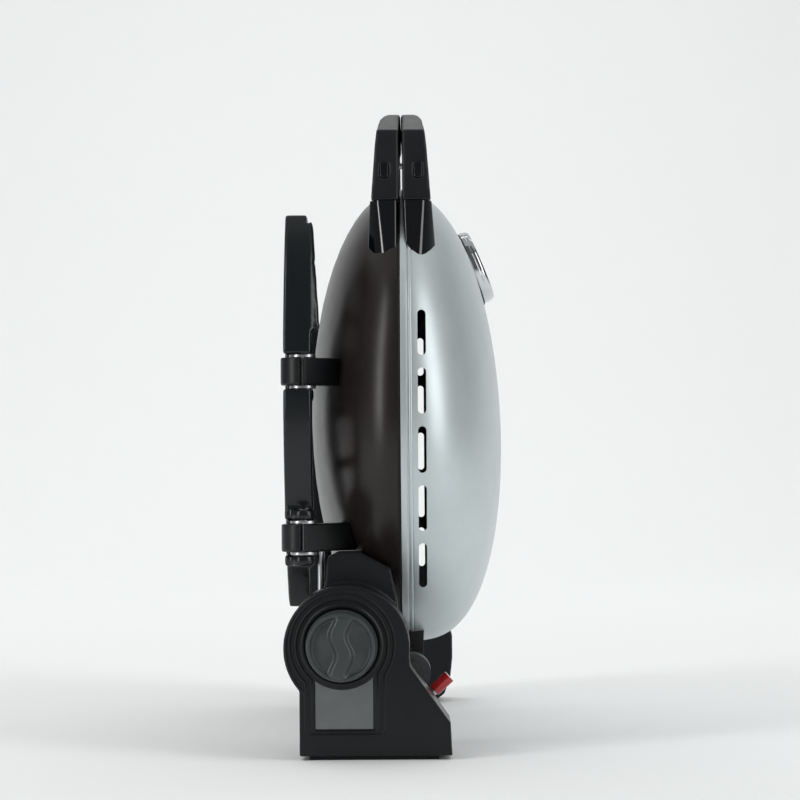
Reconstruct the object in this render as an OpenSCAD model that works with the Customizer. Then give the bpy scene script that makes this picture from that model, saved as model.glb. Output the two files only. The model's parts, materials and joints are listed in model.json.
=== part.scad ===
// Portable tabletop gas grill, closed, legs folded, standing on its hinge-side feet.
// Pieces are drawn in the cooking position: x runs across the grill, y runs towards the
// front handle and z runs up, with the origin in the middle of the rim. stand() then
// turns the whole grill up on end, so that the handle is on top.

/* [Shells] */
// Radius of the rounded ends of the lid and base
end_r = 175; // [155:1:212]
// Straight run between the two rounded ends
mid_l = 122; // [90:1:160]
// Depth of the base bowl
base_h = 69; // [57:1:84]
// Height of the lid dome
lid_h = 77.3; // [64:0.1:94]
// How far the highest line of the lid sits behind the middle
apex_back = 25; // [10:1:32]
// Sheet thickness of both shells
wall = 2.2; // [1.6:0.1:3]
// Clearance between the floor and the shells, standing
foot_clear = 72; // [68:1:86]
// Thickness of the rim seal
seal_h = 1.6; // [1.2:0.1:2.4]

/* [Vents] */
// Number of vent slots on each side of the lid
vent_n = 5; // [1:2:5]
// Distance between vent slots
vent_pitch = 42; // [38:1:46]
// Length of a vent slot
vent_l = 33; // [20:1:35]
// Width of a vent slot
vent_w = 6; // [4:0.5:8]
// Height of the vent slots above the rim
vent_z = 15.7; // [13:0.1:18]

/* [Handle] */
// How far the grip stands out in front of the rounded ends
handle_reach = 61; // [56:1:74]
// Half the length of the straight grip
grip_half = 56; // [45:1:66]
// Depth of the grip bar, front to back
grip_d = 28; // [23:1:30]
// Half the gap between the two handle halves
handle_gap = 1.25; // [0.8:0.05:2]

/* [Hinge] */
// Distance of the hinges from the middle
hinge_x = 115; // [100:1:122]
// Height of the hinge axis above the rim
hinge_z = 1.7; // [1:0.1:3]
// Distance of the hinge axis behind the rim
hinge_back = 6; // [5.5:0.1:8]
// Radius of the hinge pins
pin_r = 2.5; // [2:0.1:3.2]

/* [Legs] */
// Length of a folding leg
leg_l = 294; // [250:1:320]
// Width of a folding leg, from its curved edge to its foot bar
leg_w = 72; // [64:1:80]
// Radius of the leg's curved edge
leg_r = 210; // [190:1:250]
// Width of the leg's bars
leg_bar = 14; // [12:1:16]
// Number of slats across a leg
slat_n = 7; // [6:1:8]
// Distance between the two pivots of a leg
pivot_span = 120; // [108:1:140]
// Width of a pivot bracket
bracket_w = 20; // [17:1:24]
// Radius of the leg pivot pins
leg_pin_r = 3; // [2.5:0.1:3.6]

/* [Feet and control housing] */
// Width of a foot, housing included
foot_w = 50; // [44:1:54]
// Wall of the housings
case_wall = 3; // [2:0.2:4]
// Radius of the round part of the housing
hub_r = 45; // [40:1:47]
// Radius of the knob's face
knob_r = 23.4; // [20:0.1:26]
// Height of the knob
knob_h = 20; // [16:1:24]
// How far the knob is pushed in to light the burner
knob_push = 4; // [3:0.5:5]
// Radius of the valve stem
stem_r = 3; // [2.5:0.1:3.5]

/* [Thermometer] */
// Radius of the thermometer bezel
bezel_r = 30; // [25:1:34]
// Height of the thermometer bezel
bezel_h = 9.5; // [8:0.5:12]

/* [Burner and grate] */
// Gap between the cooking grate and the bowl's rim
grate_gap = 12; // [9:1:16]
// Distance between grate bars
bar_pitch = 15; // [12:1:20]
// Radius of the burner tube
burner_r = 11; // [9:0.5:13]
// Length of the burner tube
burner_l = 260; // [220:1:280]
// Radius of the gas pipe
pipe_r = 4; // [3:0.5:5]

/* [Hidden] */
$fn = 96;

run_gap = 0.06;          // running clearance of a pin in its bore
joint_gap = 0.3;         // gap between pieces that move past each other
half_mid = mid_l / 2;
half_w = half_mid + end_r;
floor_y = -(end_r + foot_clear);
lid_z0 = joint_gap;      // underside of the lid's rim
band_h = 5;              // height of the lid's rim band
band_out = 0.6;          // how far the band stands proud
bead_z0 = band_h + 1.4;
bead_h = 2.2;
lid_front = end_r + apex_back;
lid_rear = end_r - apex_back;
front_p = 2.1;           // fullness of the lid's front slope
rear_p = 3.1;            // fullness of the lid's rear slope
ARC_N = 30;              // steps round each end of the lid
TOP_T = 0.998;           // share of the dome's height where its flat top starts
DOME_LEVELS = [0.12, 0.25, 0.38, 0.5, 0.61, 0.71, 0.79, 0.86, 0.91, 0.95, 0.975, 0.99, TOP_T];
seal_w = 4;
seam_z = 1;              // middle of the gap between the handle halves

handle_y = end_r + handle_reach;
latch_y = handle_y - grip_d - 6;
latch_z = 12;
mount_y = end_r - 18;    // where the handle arms meet their mounts
hinge_y = -(end_r + hinge_back);
barrel_r = pin_r + 4;
barrel_w = 15;
lug_w = 6.5;
arm_top = 16;
arm_in = -sqrt(end_r * end_r - pow(hinge_x + barrel_w / 2 - half_mid, 2)) + 8;

leg_out = half_w - 21;
leg_cx = leg_r - leg_out;
leg_mid = 0;            // middle of a leg's length
leg_cy = 14;             // middle of its curved edge
leg_in = leg_out - leg_w;
pivot_x = leg_out - leg_bar;
pivot_z = -(base_h + 1.5);
pivot_mid = -30;
leg_bottom = pivot_z - 13.8;
leg_top = pivot_z + 6.9;
web_top = pivot_z + 2.2;
cap_r = 16;
washer_t = 2.2;
washer_r = 9.5;
ear_w = 8;
notch_w = bracket_w + 2 * washer_t + 2 * joint_gap;
bore_reach = notch_w / 2 + ear_w + 0.5;
split_gap = 1.4;         // half the groove between a leg bracket and its cap

pad_h = 3;
foot_out = half_w - 4;
foot_in = foot_out - foot_w;
foot_split = foot_out - foot_w / 2 - 1;
hub_y = floor_y + 79;
hub_z = -39.3;
knob_y = floor_y + 81.5;
knob_z = hub_z - 3.2;
knob_gap = knob_push + 2.5;
foot_left = -73;
near_right = 35.5;
far_right = 42;
rim_reach = end_r - foot_w - 4;
rim_y = -sqrt(end_r * end_r - rim_reach * rim_reach);
neck_y = rim_y + 26;
skirt_r = knob_r + 2.1;
ring_r = skirt_r + 4.5;

stay_r = 2.1;            // radius of the stay rods
stay_x = foot_split - 10;
stay_z = hub_z - 19.2;
far_stay_x = stay_x - 4; // the far leg's curved edge sweeps past the far rod
far_stay_z = stay_z + 5.8;
stay_y = hub_y + sqrt(hub_r * hub_r - pow(hub_z - stay_z, 2)) - 6;

valve_y = hub_y - 4;
pipe_y = valve_y;
pipe_z = -48;
burner_y = -10;
burner_z = -48;
reg_x = foot_in - 15;
reg_y = floor_y + 57;
reg_z = 7;
inlet_y = floor_y + 30;
inlet_z = 8.5;
inlet_tilt = 42;         // rise of the gas inlet, towards the handle

thermo_t = 0.711;        // height of the thermometer, as a share of the dome
thermo_z = lid_h * thermo_t;
thermo_y = -apex_back + lid_front * sqrt(1 - pow(thermo_t, front_p));
thermo_tilt = 22.5;
flange_t = 1;
plate_t = 2;

pivots = [pivot_mid - pivot_span / 2, pivot_mid + pivot_span / 2];

// Row frame: centred on the standing grill's own box
knob_face = foot_out + knob_gap + knob_h;
lid_top = max(lid_h, thermo_z + (bezel_h + flange_t) * cos(thermo_tilt) + bezel_r * sin(thermo_tilt));
shift_x = (cap_r - pivot_z - lid_top) / 2;
shift_y = (knob_face - (half_w + band_out)) / 2;

// ---- helpers ----
module stand() {
  translate([shift_x, shift_y, -floor_y]) rotate([90, 0, 90]) children();
}

module both() {
  children();
  mirror([1, 0, 0]) children();
}

// Turns the near leg end for end, about the middle of the brackets
module end_for_end() {
  translate([0, 2 * pivot_mid, 0]) rotate([0, 0, 180]) children();
}

// Extrudes an outline drawn in y and z along x
module along_x(x0, x1) {
  translate([x0, 0, 0]) rotate([90, 0, 90]) linear_extrude(height = x1 - x0) children();
}

module rod_x(x0, x1, y, z, r) {
  translate([x0, y, z]) rotate([0, 90, 0]) cylinder(r = r, h = x1 - x0);
}

module rod_y(y0, y1, x, z, r) {
  translate([x, y0, z]) rotate([-90, 0, 0]) cylinder(r = r, h = y1 - y0);
}

module box(x0, x1, y0, y1, z0, z1) {
  translate([x0, y0, z0]) cube([x1 - x0, y1 - y0, z1 - z0]);
}

module stadium(r, l = mid_l) {
  translate([-l / 2, 0]) circle(r = r);
  translate([l / 2, 0]) circle(r = r);
  translate([-l / 2, -r]) square([l, 2 * r]);
}

module ring(r_out, r_in, z0, h) {
  translate([0, 0, z0]) linear_extrude(height = h) difference() {
    stadium(r_out);
    stadium(r_in);
  }
}

function bowl_arc(d) = [for (a = [0:6:90]) [(end_r - d) * cos(a), -(base_h - d) * sin(a)]];
function flipped(p) = [for (i = [len(p) - 1:-1:0]) [-p[i][0], p[i][1]]];

// The bowl as a solid, its walls moved in by d
module bowl(d = 0) {
  both() translate([half_mid, 0, 0]) rotate([0, 0, -90]) rotate_extrude(angle = 180)
    polygon(concat([[0, 0]], bowl_arc(d)));
  along_x(-half_mid, half_mid) polygon(concat(bowl_arc(d), flipped(bowl_arc(d))));
}

// One level of the dome: a stadium loop whose middle moves back as it rises
function lift(t, p) = sqrt(max(0, 1 - pow(t, p)));
function dome_loop(t, z, d) =
  let (front = (lid_front - d) * lift(t, front_p), rear = (lid_rear - d) * lift(t, rear_p))
  let (r = (front + rear) / 2, yc = (front - rear) / 2 - apex_back)
  concat([for (i = [0:ARC_N]) let (a = -90 + 180 * i / ARC_N)
           [half_mid + r * cos(a), yc + r * sin(a), z]],
         [for (i = [0:ARC_N]) let (a = 90 + 180 * i / ARC_N)
           [-half_mid + r * cos(a), yc + r * sin(a), z]]);

// A solid through stadium loops, each given as its share of the dome's height, z and inset
module loft(levels) {
  loops = [for (l = levels) dome_loop(l[0], l[1], l[2])];
  n = 2 * (ARC_N + 1);
  m = len(loops);
  sides = [for (k = [0:m - 2]) for (i = [0:n - 1]) let (j = (i + 1) % n)
    each [[k * n + i, (k + 1) * n + i, k * n + j], [k * n + j, (k + 1) * n + i, (k + 1) * n + j]]];
  bottom = [for (i = [0:n - 1]) i];
  top = [for (i = [n - 1:-1:0]) (m - 1) * n + i];
  polyhedron(points = [for (l = loops) each l], faces = concat([bottom], sides, [top]));
}

function dome_levels(d) = [for (t = DOME_LEVELS) [t, (lid_h - d) * t / TOP_T, d]];

// The space inside the lid, its walls moved in by d
module dome(d, z0) loft(concat([[0, z0, d]], dome_levels(d)));

// The lid's outside: rim band, groove, bead and dome
module lid_outside() {
  t1 = band_h / lid_h;
  t2 = bead_z0 / lid_h;
  t3 = (bead_z0 + bead_h) / lid_h;
  loft(concat([[0, lid_z0, -band_out], [t1, band_h, -band_out], [t1, band_h, band_out],
    [t2, bead_z0, band_out], [t2, bead_z0, -band_out / 2], [t3, bead_z0 + bead_h, -band_out / 2],
    [t3, bead_z0 + bead_h + 0.2, 0]], [for (l = dome_levels(0)) if (l[0] > t3 + 0.01) l]));
}

// ---- base ----
module base_shell() color("#2b2624") stand() difference() {
  union() {
    difference() {
      bowl(0);
      bowl(wall);
      box(-half_w - 1, half_w + 1, -end_r - 1, end_r + 1, -seal_h, 1);
    }
    intersection() {
      ring(end_r + 1, end_r - 8, -seal_h - wall, wall);
      bowl(0);
    }
  }
  rod_y(-end_r, burner_y - 50, 0, burner_z, burner_r + 1.4);
  for (x = [-70, 0, 70]) translate([x, 62, -base_h]) cylinder(r = 6, h = base_h);
}

module rim_seal() color("#101010") stand() ring(end_r - 0.4, end_r - 0.4 - seal_w, -seal_h, seal_h);

module handle_outline() {
  arm_x = half_w - 49;
  arm_y = end_r - 57;
  bend_x = half_w - 86;
  bend_y = end_r + 37;
  polygon([[arm_x, arm_y], [bend_x, bend_y], [grip_half, handle_y], [-grip_half, handle_y],
    [-bend_x, bend_y], [-arm_x, arm_y], [-arm_x + 30, arm_y - 12], [-bend_x + 40, end_r - 22],
    [-bend_x + 22, end_r + 11], [-grip_half + 6, handle_y - grip_d],
    [grip_half - 6, handle_y - grip_d], [bend_x - 22, end_r + 11],
    [bend_x - 40, end_r - 22], [arm_x - 30, arm_y - 12]]);
}

module handle_arch(y0, y1) {
  intersection() {
    translate([0, 0, -40]) linear_extrude(height = 80) handle_outline();
    box(-half_w, half_w, y0, y1, -40, 40);
  }
}

// Front-to-back taper of the handle, drawn in y and z
module taper_down(top) {
  along_x(-half_w, half_w) polygon([[0, top], [0, -22.5], [mount_y, -20.8],
    [handle_y - 36, -18], [handle_y - 8, -15], [handle_y - 2, -12], [handle_y, -9], [handle_y, top]]);
}

module taper_up(bottom) {
  along_x(-half_w, half_w) polygon([[0, bottom], [handle_y, bottom], [handle_y, 12],
    [handle_y - 2, 15], [handle_y - 8, 17.5], [handle_y - 36, 20.5], [mount_y, 23.5], [0, 27]]);
}

// Frame of an oval plug, on the outer face of a handle arm
module plug_place(z) {
  translate([half_w - 74.4, end_r + 5.5, z]) rotate([0, 0, 21.9]) rotate([0, 90, 0]) children();
}

module oval(r, l, z0, h) {
  translate([0, 0, z0]) linear_extrude(height = h) union() {
    translate([0, -l / 2]) circle(r = r);
    translate([0, l / 2]) circle(r = r);
    translate([-r, -l / 2]) square([2 * r, l]);
  }
}

module grip_pad(z0, z1) box(-grip_half, grip_half, handle_y - 19, handle_y - 0.5, z0, z1);

module base_handle_half() color("#1b1b1b") stand() difference() {
  union() {
    intersection() {
      handle_arch(mount_y, handle_y);
      taper_down(seam_z - handle_gap);
    }
    grip_pad(seam_z - handle_gap - 1, seam_z - joint_gap / 2);
  }
  bowl(0);
  both() plug_place(-11) oval(3.2, 7.2, -3, 8);
}

module base_handle_mounts() color("#0d0d0d") stand() difference() {
  intersection() {
    handle_arch(0, mount_y - 0.2);
    taper_down(-seal_h);
  }
  bowl(0);
}

module base_screw_plugs() color("#060606") stand() both() plug_place(-11) oval(3, 7.2, -3, 3.9);

module latch_catch() color("#8b8f92") stand() difference() {
  box(-12, 12, handle_y - grip_d - 3, handle_y - grip_d, -14, -3);
  box(-8, 8, handle_y - grip_d - 3.5, handle_y - grip_d - 2, -11, -6);
}

module hinge_lug(x) {
  rod_x(x, x + lug_w, hinge_y, hinge_z, barrel_r);
  box(x, x + lug_w, hinge_y - barrel_r + 0.5, hinge_y + 26, -22, -joint_gap - 1.4);
}

module base_hinge_brackets() color("#161616") stand() both() difference() {
  union() {
    hinge_lug(hinge_x - barrel_w / 2 - lug_w - joint_gap);
    hinge_lug(hinge_x + barrel_w / 2 + joint_gap);
    box(hinge_x - 14, hinge_x + 14, hinge_y - 2, hinge_y + 30, -26, -barrel_r - 2);
  }
  bowl(0);
  rod_x(hinge_x - 20, hinge_x + 20, hinge_y, hinge_z, pin_r + run_gap);
  rod_x(hinge_x - barrel_w / 2 - joint_gap, hinge_x + barrel_w / 2 + joint_gap, hinge_y, hinge_z,
    barrel_r + 1);
}

module hinge_pins() color("#a9acae") stand() both() {
  rod_x(hinge_x - 15.5, hinge_x + 15.5, hinge_y, hinge_z, pin_r);
  rod_x(hinge_x - 17.5, hinge_x - 15.5, hinge_y, hinge_z, pin_r + 1.8);
  rod_x(hinge_x + 15.5, hinge_x + 17.5, hinge_y, hinge_z, pin_r + 1.8);
}

// ---- leg brackets ----
module pivot_bore(y, r) {
  rod_y(y - bore_reach, y + bore_reach, -pivot_x, pivot_z, r);
}

module leg_bracket(y) {
  difference() {
    translate([0, y + bracket_w / 2, 0]) rotate([90, 0, 0]) linear_extrude(height = bracket_w)
      polygon([[-pivot_x - 12, pivot_z + split_gap], [-pivot_x + 11, pivot_z + split_gap],
        [-pivot_x + 52, pivot_z + 42], [-pivot_x + 46, -12], [-pivot_x + 42, -12],
        [-pivot_x + 11, pivot_z + 25]]);
    pivot_bore(y, leg_pin_r + run_gap);
  }
}

module leg_cap(y) {
  difference() {
    rod_y(y - bracket_w / 2, y + bracket_w / 2, -pivot_x, pivot_z, cap_r);
    box(-half_w, 0, y - bracket_w, y + bracket_w, pivot_z - split_gap, 0);
    pivot_bore(y, leg_pin_r + run_gap);
  }
}

module both_legs() {
  children();
  end_for_end() children();
}

module leg_brackets() color("#141414") stand() difference() {
  both_legs() for (y = pivots) leg_bracket(y);
  bowl(0);
}

module leg_pivot_caps() color("#181818") stand() both_legs() for (y = pivots) leg_cap(y);

// ---- feet and housing ----
module foot_block(left, right, top_y, d) {
  low = floor_y + pad_h;
  polygon([[low + d, left + d], [low + d, right - d], [top_y, right - d - 1],
    [hub_y - 13 - d / 2, 6 - d], [hub_y, 5 - d], [hub_y, left + d]]);
}

// Round hub and foot block of the near foot, walls moved in by d
module near_solid(x0, x1, d = 0) union() {
  rod_x(x0, x1, hub_y, hub_z, hub_r - d);
  along_x(x0, x1) foot_block(foot_left, near_right, floor_y + 26, d);
}

module far_outline(d = 0) {
  low = floor_y + pad_h;
  polygon([[low + d, foot_left + 3 + d], [low + d, 29 - d], [low + 5 + d, 35 - d],
    [low + 18, 40 - d], [low + 36, far_right - d], [hub_y - 20 - d, far_right - d],
    [hub_y - 9 - d, far_right - 5 - d], [hub_y - 4 - d, far_right - 16 - d], [hub_y - d, 0],
    [hub_y - d, -52 + d], [low + 38, -60 + d], [low + 34, foot_left + 3 + d]]);
}

// Arm that joins a foot to the bowl
module neck() {
  polygon([[hub_y - 2, -59], [neck_y - 4, -53.6], [neck_y, -46], [neck_y, -30],
    [neck_y - 12, -8], [rim_y - 10, -3], [hub_y - 2, -3]]);
}

module near_foot_frame() color("#191919") stand() difference() {
  union() {
    near_solid(-foot_split, -foot_in);
    along_x(-foot_split + case_wall, -foot_in) neck();
  }
  near_solid(-foot_split - 1, -foot_in - case_wall, case_wall);
  bowl(0);
  rod_x(-foot_split, -foot_in + 1, pipe_y, pipe_z, pipe_r + 0.5);
  rod_y(hub_y, neck_y, -stay_x, stay_z, stay_r + 0.05);
}

module control_housing() color("#151515") stand() difference() {
  near_solid(-foot_out, -foot_split);
  near_solid(-foot_out + case_wall, -foot_split + 1, case_wall);
  rod_x(-foot_out - 1, -foot_out + 10, knob_y, knob_z, stem_r + 5);
  difference() {
    box(-foot_out - 1, -foot_out + 1, floor_y + 20, knob_y - 4, knob_z - 21, knob_z + 24);
    rod_x(-foot_out - 2, -foot_out + 2, knob_y, knob_z, ring_r + 1);
  }
}

function screw_spots() = [[floor_y + 12, -62], [floor_y + 12, 26], [hub_y + 34, hub_z - 14],
  [floor_y + 40, -12]];

module knob_bezel() color("#202321") stand() translate([-foot_out, knob_y, knob_z])
  rotate([0, -90, 0]) rotate_extrude() polygon([[stem_r + 6, 0], [ring_r, 0], [ring_r, 1.2],
    [ring_r - 1.5, 2.4], [ring_r - 3, 2.4], [ring_r - 4, 1], [skirt_r - 3, 1], [skirt_r - 5, 1.8],
    [stem_r + 7, 1.8], [stem_r + 6, 1]]);

module blank_plate() color("#c9cbc9") stand() difference() {
  box(-foot_out + 0.4, -foot_out + 1, floor_y + 22, knob_y - 6, knob_z - 19, knob_z + 22);
  rod_x(-foot_out - 2, -foot_out + 2, knob_y, knob_z, ring_r + 1.6);
}

module far_foot_frame() color("#1d1d1d") stand() difference() {
  union() {
    along_x(foot_in, foot_split) far_outline();
    along_x(foot_in, foot_split - case_wall) neck();
  }
  along_x(foot_in + case_wall, foot_split + 1) far_outline(case_wall);
  bowl(0);
  rod_y(stay_y, neck_y, far_stay_x, far_stay_z, stay_r + 0.05);
}

module far_foot_cover() color("#1b1b1b") stand() difference() {
  along_x(foot_split, foot_out) far_outline();
  along_x(foot_split - 1, foot_out - case_wall) far_outline(case_wall);
}

module foot_pads() color("#0c0c0c") stand() both()
  box(foot_in + 4, foot_out - 4, floor_y, floor_y + pad_h, -66, 26);

module housing_screws() color("#8d9092") stand() both() for (p = screw_spots()) difference() {
  rod_x(-foot_in, -foot_in + 2, p[0], p[1], 3.2);
  rod_x(-foot_in + 0.8, -foot_in + 3, p[0], p[1], 1.3);
}

module stay_rods() color("#b4b7b9") stand() {
  rod_y(stay_y, pivots[0] - bracket_w / 2 - 0.1, -stay_x, stay_z, stay_r);
  rod_y(stay_y, pivots[0] - bracket_w / 2 - 0.1, far_stay_x, far_stay_z, stay_r);
}

// ---- gas ----
module valve_body() color("#b39a5c") stand() difference() {
  union() {
    box(-foot_split + 2, -foot_in - case_wall, valve_y - 14, valve_y + 16, pipe_z - 8, pipe_z + 20);
    rod_x(-foot_split - 8, -foot_split + 2, knob_y, knob_z, 9);
  }
  rod_x(-foot_split - 9, -foot_in - case_wall - 5, knob_y, knob_z, stem_r + run_gap);
  rod_x(-foot_in - case_wall - 4, -foot_in, pipe_y, pipe_z, pipe_r);
}

module gas_pipe() color("#a3a6a8") stand() {
  bend = 14;
  rod_x(-foot_in - case_wall - 4, -bend, pipe_y, pipe_z, pipe_r);
  translate([-bend, pipe_y + bend, pipe_z]) rotate([0, 0, -90]) rotate_extrude(angle = 90)
    translate([bend, 0]) circle(r = pipe_r, $fn = 32);
  rod_y(pipe_y + bend, pipe_y + bend + 2, 0, pipe_z, pipe_r);
}

module orifice_fitting() color("#c0a25a") stand() {
  rod_y(pipe_y + 16, pipe_y + 24, 0, pipe_z, pipe_r + 2.5);
  rod_y(pipe_y + 24, pipe_y + 30, 0, pipe_z, pipe_r - 1);
}

module inlet_frame() {
  translate([-reg_x, inlet_y, inlet_z]) rotate([-inlet_tilt, 0, 0]) children();
}

module regulator_body() color("#4a4c4e") stand() {
  rod_x(-foot_in, -foot_in + 5, reg_y, reg_z, 9);
  rod_x(-foot_in + 5, -foot_in + 26, reg_y, reg_z, 14);
  rod_x(-foot_in + 26, -foot_in + 29, reg_y, reg_z, 11);
  difference() {
    rod_x(-foot_in + 5, -foot_in + 25, inlet_y, inlet_z, 10);
    inlet_frame() cylinder(r = 3.4, h = 30);
    rod_x(-foot_in, -foot_in + 30, reg_y, reg_z, 14);
  }
  difference() {
    box(-foot_in + 8, -foot_in + 22, inlet_y, reg_y, -1, 15);
    inlet_frame() cylinder(r = 5.6, h = 30);
    rod_x(-foot_in, -foot_in + 30, reg_y, reg_z, 14);
    rod_x(-foot_in, -foot_in + 30, inlet_y, inlet_z, 10);
  }
}

module inlet_fitting() color("#b8babc") stand() inlet_frame() {
  cylinder(r = 3.4, h = 27);
  translate([0, 0, 11]) cylinder(r = 5.2, h = 4);
}

module inlet_cap() color("#c8201c") stand() inlet_frame() difference() {
  translate([0, 0, 20]) cylinder(r = 4.6, h = 15);
  translate([0, 0, 19]) cylinder(r = 3.4 + joint_gap, h = 12);
}

module venturi_tube() color("#9c9fa1") stand() difference() {
  union() {
    rod_y(-end_r + 26, burner_y - burner_r + 1.5, 0, burner_z, burner_r - 2);
    rod_y(-end_r + 26, -end_r + 36, 0, burner_z, burner_r + 1);
  }
  rod_y(-end_r, burner_y, 0, burner_z, burner_r - 3.2);
  rod_x(-burner_l / 2, burner_l / 2, burner_y, burner_z, burner_r);
}

module burner_tube() color("#8d8f90") stand() difference() {
  rod_x(-burner_l / 2, burner_l / 2, burner_y, burner_z, burner_r);
  rod_x(-burner_l / 2 + 2, burner_l / 2 - 2, burner_y, burner_z, burner_r - 1.2);
  rod_y(burner_y - 20, burner_y, 0, burner_z, burner_r - 3.2);
  for (x = [-burner_l / 2 + 25:20:burner_l / 2 - 25])
    rod_y(burner_y, burner_y + 20, x, burner_z, 1.4);
}

module tent(z, t, l) {
  along_x(-l / 2, l / 2) polygon([[-52, z - 12], [burner_y, z], [46, z - 12], [46, z - 12 + t],
    [burner_y, z + t], [-52, z - 12 + t]]);
}

module burner_brackets() color("#7c7e80") stand() both() difference() {
  intersection() {
    box(burner_l / 2 - 12, burner_l / 2 - 9, -48, 42, -base_h, -20);
    bowl(wall);
  }
  rod_x(0, half_w, burner_y, burner_z, burner_r);
  tent(-22, 30, burner_l + 40);
}

module heat_plate() color("#6d6f70") stand() tent(-22, 1.4, burner_l + 20);

module igniter_electrode() color("#e4e0d6") stand() {
  rod_y(burner_y + burner_r + 3, 40, -90, burner_z, 2.6);
  rod_y(burner_y + burner_r + 0.5, burner_y + burner_r + 3, -90, burner_z, 0.9);
  intersection() {
    box(-93, -87, 33, 37, -base_h, burner_z - 1);
    bowl(wall);
  }
}

module grease_tray() color("#9a9c9d") stand() {
  r = 40;
  z0 = -(base_h - wall) * sqrt(1 - pow(r / (end_r - wall), 2)) + 0.1;
  translate([0, 0, z0]) difference() {
    linear_extrude(height = 6) stadium(r, 100);
    translate([0, 0, 1.2]) linear_extrude(height = 6) stadium(r - 1.2, 100);
  }
}

module grate_rests() color("#2b2624") stand() intersection() {
  union() {
    both() box(half_w - 32, half_w, -9, 9, -17, -12);
    both() box(half_mid - 12, half_mid + 6, end_r - 32, end_r, -17, -12);
    both() box(half_mid - 12, half_mid + 6, -end_r, -end_r + 32, -17, -12);
  }
  bowl(wall);
}

module cooking_grate() color("#2f3031") stand() {
  r = end_r - grate_gap;
  bar_w = 5;
  n = floor((half_w - grate_gap - 4) / bar_pitch);
  translate([0, 0, -12]) linear_extrude(height = 7) {
    difference() {
      stadium(r);
      stadium(r - 7);
    }
    intersection() {
      stadium(r - 3);
      union() {
        for (i = [-n:n]) translate([i * bar_pitch - bar_w / 2, -r]) square([bar_w, 2 * r]);
        for (y = [-70, 70]) translate([-half_w, y - 3]) square([2 * half_w, 6]);
      }
    }
  }
}

// ---- lid ----
module vents() {
  for (k = [-(vent_n - 1) / 2:(vent_n - 1) / 2])
    translate([0, -apex_back - 2 + k * vent_pitch, vent_z]) both()
      translate([half_mid + 30, 0, 0]) rotate([0, 90, 0]) linear_extrude(height = end_r) union() {
        translate([-vent_w / 2, -vent_l / 2 + vent_w / 2]) square([vent_w, vent_l - vent_w]);
        for (s = [-1, 1]) translate([0, s * (vent_l - vent_w) / 2]) circle(r = vent_w / 2, $fn = 32);
      }
}

module arm_block(y1) {
  box(hinge_x - barrel_w / 2, hinge_x + barrel_w / 2, hinge_y, y1, 0.8, arm_top);
}

module lid_shell() color("#b9c0c8") stand() difference() {
  lid_outside();
  dome(wall, -1);
  vents();
  both() arm_block(arm_in);
  thermo() translate([0, 0, -12]) cylinder(r = 5, h = 20);
}

module lid_handle_half() color("#1b1b1b") stand() difference() {
  union() {
    intersection() {
      handle_arch(mount_y, handle_y);
      taper_up(seam_z + handle_gap);
    }
    grip_pad(seam_z + joint_gap / 2, seam_z + handle_gap + 1);
    latch_ears();
  }
  lid_outside();
  both() plug_place(14) oval(3.2, 7.2, -3, 8);
  rod_x(-30, 30, latch_y, latch_z, 1.6 + run_gap);
}

module lid_handle_mounts() color("#0d0d0d") stand() difference() {
  intersection() {
    handle_arch(0, mount_y - 0.2);
    taper_up(seam_z + handle_gap);
  }
  lid_outside();
}

module lid_screw_plugs() color("#060606") stand() both() plug_place(14) oval(3, 7.2, -3, 3.9);

module lid_hinge_arms() color("#161616") stand() both() difference() {
  union() {
    arm_block(arm_in);
    rod_x(hinge_x - barrel_w / 2, hinge_x + barrel_w / 2, hinge_y, hinge_z, barrel_r);
  }
  rod_x(hinge_x - 20, hinge_x + 20, hinge_y, hinge_z, pin_r + run_gap);
}

module latch_ears() {
  for (x = [-19, 15]) {
    rod_x(x, x + 4, latch_y, latch_z, 4);
    box(x, x + 4, latch_y, handle_y - grip_d + 1, latch_z - 4, latch_z + 4);
  }
}

module latch_lever() color("#9a9da0") stand() {
  difference() {
    rod_x(-14.6, 14.6, latch_y, latch_z, 3.6);
    rod_x(-20, 20, latch_y, latch_z, 1.6 - 0.1);
  }
  rod_x(-20, 20, latch_y, latch_z, 1.6);
  box(-12, 12, latch_y - 1, latch_y + 1, -16, latch_z - 3);
  box(-9, 9, latch_y + 1, latch_y + 2.4, -12, -7);
}

module thermo() {
  translate([0, thermo_y, thermo_z]) rotate([-thermo_tilt, 0, 0]) children();
}

module thermo_flange() color("#2a2a2a") stand() difference() {
  thermo() translate([0, 0, -4]) cylinder(r = bezel_r + 0.8, h = 4 + flange_t);
  lid_outside();
  thermo() translate([0, 0, -12]) cylinder(r = 4.6, h = 20);
}

module thermo_bezel() color("#d8dadc") stand() thermo() translate([0, 0, flange_t]) difference() {
  rotate_extrude() polygon([[4.6, 0], [bezel_r, 0], [bezel_r, bezel_h - 2], [bezel_r - 1, bezel_h - 0.5],
    [bezel_r - 2.4, bezel_h], [bezel_r - 4, bezel_h - 0.6], [bezel_r - 4.6, bezel_h - 2],
    [bezel_r - 4.6, plate_t], [4.6, plate_t]]);
}

module thermo_dial() color("#eceae2") stand() thermo() difference() {
  translate([0, 0, flange_t + plate_t]) cylinder(r = bezel_r - 4.7, h = 0.8);
  cylinder(r = 1.3, h = 20);
}

module thermo_needle() color("#c22018") stand() thermo() {
  z0 = flange_t + plate_t + 1.4;
  translate([0, 0, z0 - 3]) cylinder(r = 1, h = 4);
  translate([0, 0, z0]) cylinder(r = 3, h = 1);
  translate([0, 0, z0]) linear_extrude(height = 0.7)
    polygon([[-1.2, 0], [-0.3, bezel_r - 8], [0.3, bezel_r - 8], [1.2, 0], [0.8, -8], [-0.8, -8]]);
}

module thermo_lens() color("#dfeef0", 0.4) stand() thermo()
  translate([0, 0, flange_t + bezel_h - 3.4]) cylinder(r = bezel_r - 4.7, h = 1.4);

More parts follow.
